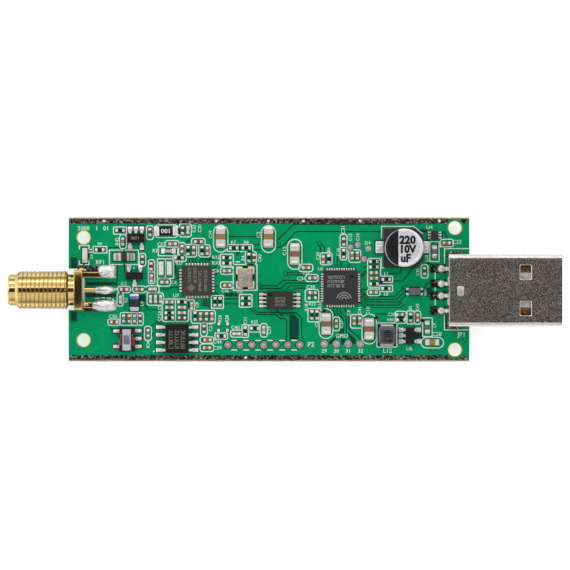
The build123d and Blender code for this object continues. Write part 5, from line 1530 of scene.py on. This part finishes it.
piece("gold_lumps", gold_lump, gold)

# ------------------------------------------------------------------ USB plug
low, high = box_mm("usb_shell")
shell_top = high.z
rear = islands("usb_insulator")[0][0][0] - 0.4
plug_y = (low.y + high.y) / 2
WINDOW_X, WINDOW_Y, WINDOW_HALF_X, WINDOW_HALF_Y = 12.7, 3.0, 1.0, 1.25
# Window rims, painted near white as a painted highlight
window_rims = Shape()
for side in (1, -1):
    cx, cy = rear + WINDOW_X, plug_y + side * WINDOW_Y
    rings = []
    for inset, z in ((-0.13, -0.001), (-0.1, 0.0), (0.0, -0.03), (0.08, -0.12), (0.08, -0.32),
                     (-0.02, -0.32)):
        half_x, half_y = WINDOW_HALF_X - inset, WINDOW_HALF_Y - inset
        rings.append(outline(cx - half_x, cx + half_x, cy - half_y, cy + half_y, 0.28, shell_top + z, 5))
    window_rims.skin(rings, loop=True)
piece("window_rims", window_rims, highlight_painted_nickel)
ribs, brown_contacts = Shape(), Shape()
for front_y, back_y, deep, shallow in ((-2.85, 2.95, 2.2, 1.0), (-4.3, 4.3, 2.3, 1.5)):
    block(ribs, rear + 7.2, rear + 18.0, plug_y + front_y, plug_y + back_y, shell_top - deep,
          shell_top - shallow, 0.1, 0.08)
piece("tongue_ribs", ribs, grey_plastic)
# Brown strips under each window; their brown is painted shade for the dark cavity seen through it
for side in (1, -1):
    y0, y1 = span(plug_y, side, 3.0, 4.05)
    block(brown_contacts, rear + 7.4, rear + 17.9, y0, y1, shell_top - 1.6, shell_top - 1.1, 0.1, 0.18)
piece("tongue_contacts", brown_contacts, window_shade_brown)
# The strip along the shell's end and the lock bump, painted near white as a painted highlight
latch = Shape()
block(latch, low.x + 0.01, low.x + 0.14, plug_y - 5.5, plug_y + 5.5, shell_top - 0.1, shell_top + 0.004,
      0.02, 0.01)
block(latch, rear + 1.35, rear + 2.5, plug_y - 0.95, plug_y + 0.75, shell_top - 0.2, shell_top - 0.005, 0.3,
      0.16)
piece("shell_lock", latch, highlight_painted_nickel)
bump = Shape()
block(bump, rear - 0.1, rear + 0.5, plug_y - 2.5, plug_y - 1.35, 0.2, 2.6, 0.25, 0.15)
block(bump, rear - 0.02, rear + 0.5, plug_y + 1.4, plug_y + 2.4, 0.2, 2.2, 0.25, 0.15)
piece("insulator_bumps", bump, white_plastic)
plug_solder = Shape()
for i, (a, b) in enumerate(sorted(islands("usb_contacts"), key=lambda row: -row[0][1])):
    y = between(a, b)[1]
    drop(plug_solder, 28.72, y, 0.66, 0.85, i * 3, 0.03, 0.55, 0.05)
    stations = [(28.1, y, 0.2, 0.15), (28.5, y, 0.45, 0.5), (29.2, y, 0.33, 0.62), (29.75, y, 0.26, 0.95)]
    mound(plug_solder, stations, i * 5.0, 0.03, 0.03)
for side in (1, -1):
    y = plug_y + side * 5.85
    mound(plug_solder, [(30.0, y, 0.3, 0.1), (30.4, y, 0.5, 0.5), (31.5, y, 0.5, 0.5), (31.9, y, 0.3, 0.1)],
          50.0 + side, UNDER - 0.03, 0.03, -1)
piece("plug_joints", plug_solder, solder, ("usb_solder",))
tab_solder = Shape()
for side in (1, -1):
    ends_y, middle_y = plug_y + side * 5.95, plug_y + side * 6.05
    mound(tab_solder, [(29.75, ends_y, 0.3, 0.1), (30.2, middle_y, 0.5, 0.3), (31.6, middle_y, 0.5, 0.3),
                       (32.15, ends_y, 0.3, 0.1)], 70.0 + side, 0.0, 0.04)
piece("tab_collars", tab_solder, tin_strip)
for y in (3.45, -3.55, -1.05, 0.95):
    clearing(26.85, 29.5, y - 0.75, y + 0.75)
piece("pad_clearances", clearances, gap_mask)

# ------------------------------------------------------------------ stage
# In metres, as the lights and the camera are
REACH = 3
FLOOR_GLOW = 0.56
SKY_LEVEL = 0.95
floor = bpy.data.meshes.new("studio_floor")
floor.from_pydata([(-REACH, -REACH, 0), (REACH, -REACH, 0), (REACH, REACH, 0), (-REACH, REACH, 0)], [],
                  [(0, 1, 2, 3)])
floor_object = bpy.data.objects.new("studio_floor", floor)
show(floor_object)
paper = plain_surface("studio_paper", (246, 246, 246), (243, 243, 243), 40.0, (0.8, 0.9), 0, 0.05, 2.0)
glow = paper.node_tree.nodes["Principled BSDF"].inputs
glow["Emission Color"].default_value = grey(1)
glow["Emission Strength"].default_value = FLOOR_GLOW
floor.materials.append(paper)

world = bpy.data.worlds.new("studio")
bpy.context.scene.world = world
world.use_nodes = True
sky = world.node_tree
direction = sky.nodes.new("ShaderNodeTexCoord")
parts = sky.nodes.new("ShaderNodeSeparateXYZ")
sky.links.new(direction.outputs["Generated"], parts.inputs["Vector"])


def sky_math(how, first, second):
    node = sky.nodes.new("ShaderNodeMath")
    node.operation = how
    for socket, value in zip(node.inputs, (first, second)):
        feed(sky, socket, value)
    return node.outputs[0]


# A light tent with a dark opening above, longer along X, where the camera looks in
across = sky_math("MULTIPLY", parts.outputs["X"], 0.55)
tilt = sky_math("SQRT", sky_math("ADD", sky_math("MULTIPLY", across, across),
                                 sky_math("MULTIPLY", parts.outputs["Y"], parts.outputs["Y"])), 0.0)
overhead = sky_math("GREATER_THAN", parts.outputs["Z"], 0.0)


def sky_ramp(factor, stops):
    return ramp_node(sky, factor, [(place, grey(level)) for place, level in stops])


TENT = [(0.0, 0.035), (0.25, 0.035), (0.285, 0.97), (0.7, 0.95), (0.88, 0.75), (1.0, 0.4)]
STRIPS = [(0.25, 0.0), (0.28, 1.3), (0.33, 1.3), (0.36, 0.0), (0.74, 0.0), (0.79, 1.2), (0.87, 1.2),
          (0.93, 0.0)]
tent = sky_ramp(sky_math("ADD", tilt, sky_math("SUBTRACT", 1.0, overhead)), TENT)
strips = sky_ramp(parts.outputs["Y"], STRIPS)
light_level = sky_math("MULTIPLY", sky_math("ADD", tent, strips), SKY_LEVEL)
sky.links.new(light_level, sky.nodes["Background"].inputs["Strength"])
sky.nodes["Background"].inputs["Color"].default_value = grey(1)


def softbox(name, place, size, power):
    light = bpy.data.lights.new(name, "AREA")
    light.shape = "RECTANGLE"
    light.size, light.size_y = size
    light.energy = power
    thing = bpy.data.objects.new(name, light)
    thing.location = place
    thing.rotation_euler = (-Vector(place)).to_track_quat("-Z", "Y").to_euler()
    show(thing)


softbox("back_softbox", (0.0, 0.9, 0.7), (1.1, 0.16), 0.9)
softbox("left_softbox", (-0.9, 0.1, 0.5), (0.2, 0.8), 1.0)

# Camera straight above, a little right of the board's middle, as far away as a close-up lens stands
CAMERA_HEIGHT = 0.6
FIELD = 0.095
SENSOR = 36.0
AIM_X, AIM_Y = 2.67 * MM, 0.73 * MM
camera = bpy.data.cameras.new("camera")
camera.sensor_width = SENSOR
camera.lens = SENSOR * CAMERA_HEIGHT / FIELD
camera.clip_start = 0.01
camera.clip_end = 20.0
viewer = bpy.data.objects.new("camera", camera)
viewer.location = ORIGIN + Vector((AIM_X, AIM_Y, CAMERA_HEIGHT))
show(viewer)
bpy.context.scene.camera = viewer
bpy.context.scene.view_settings.view_transform = "Standard"
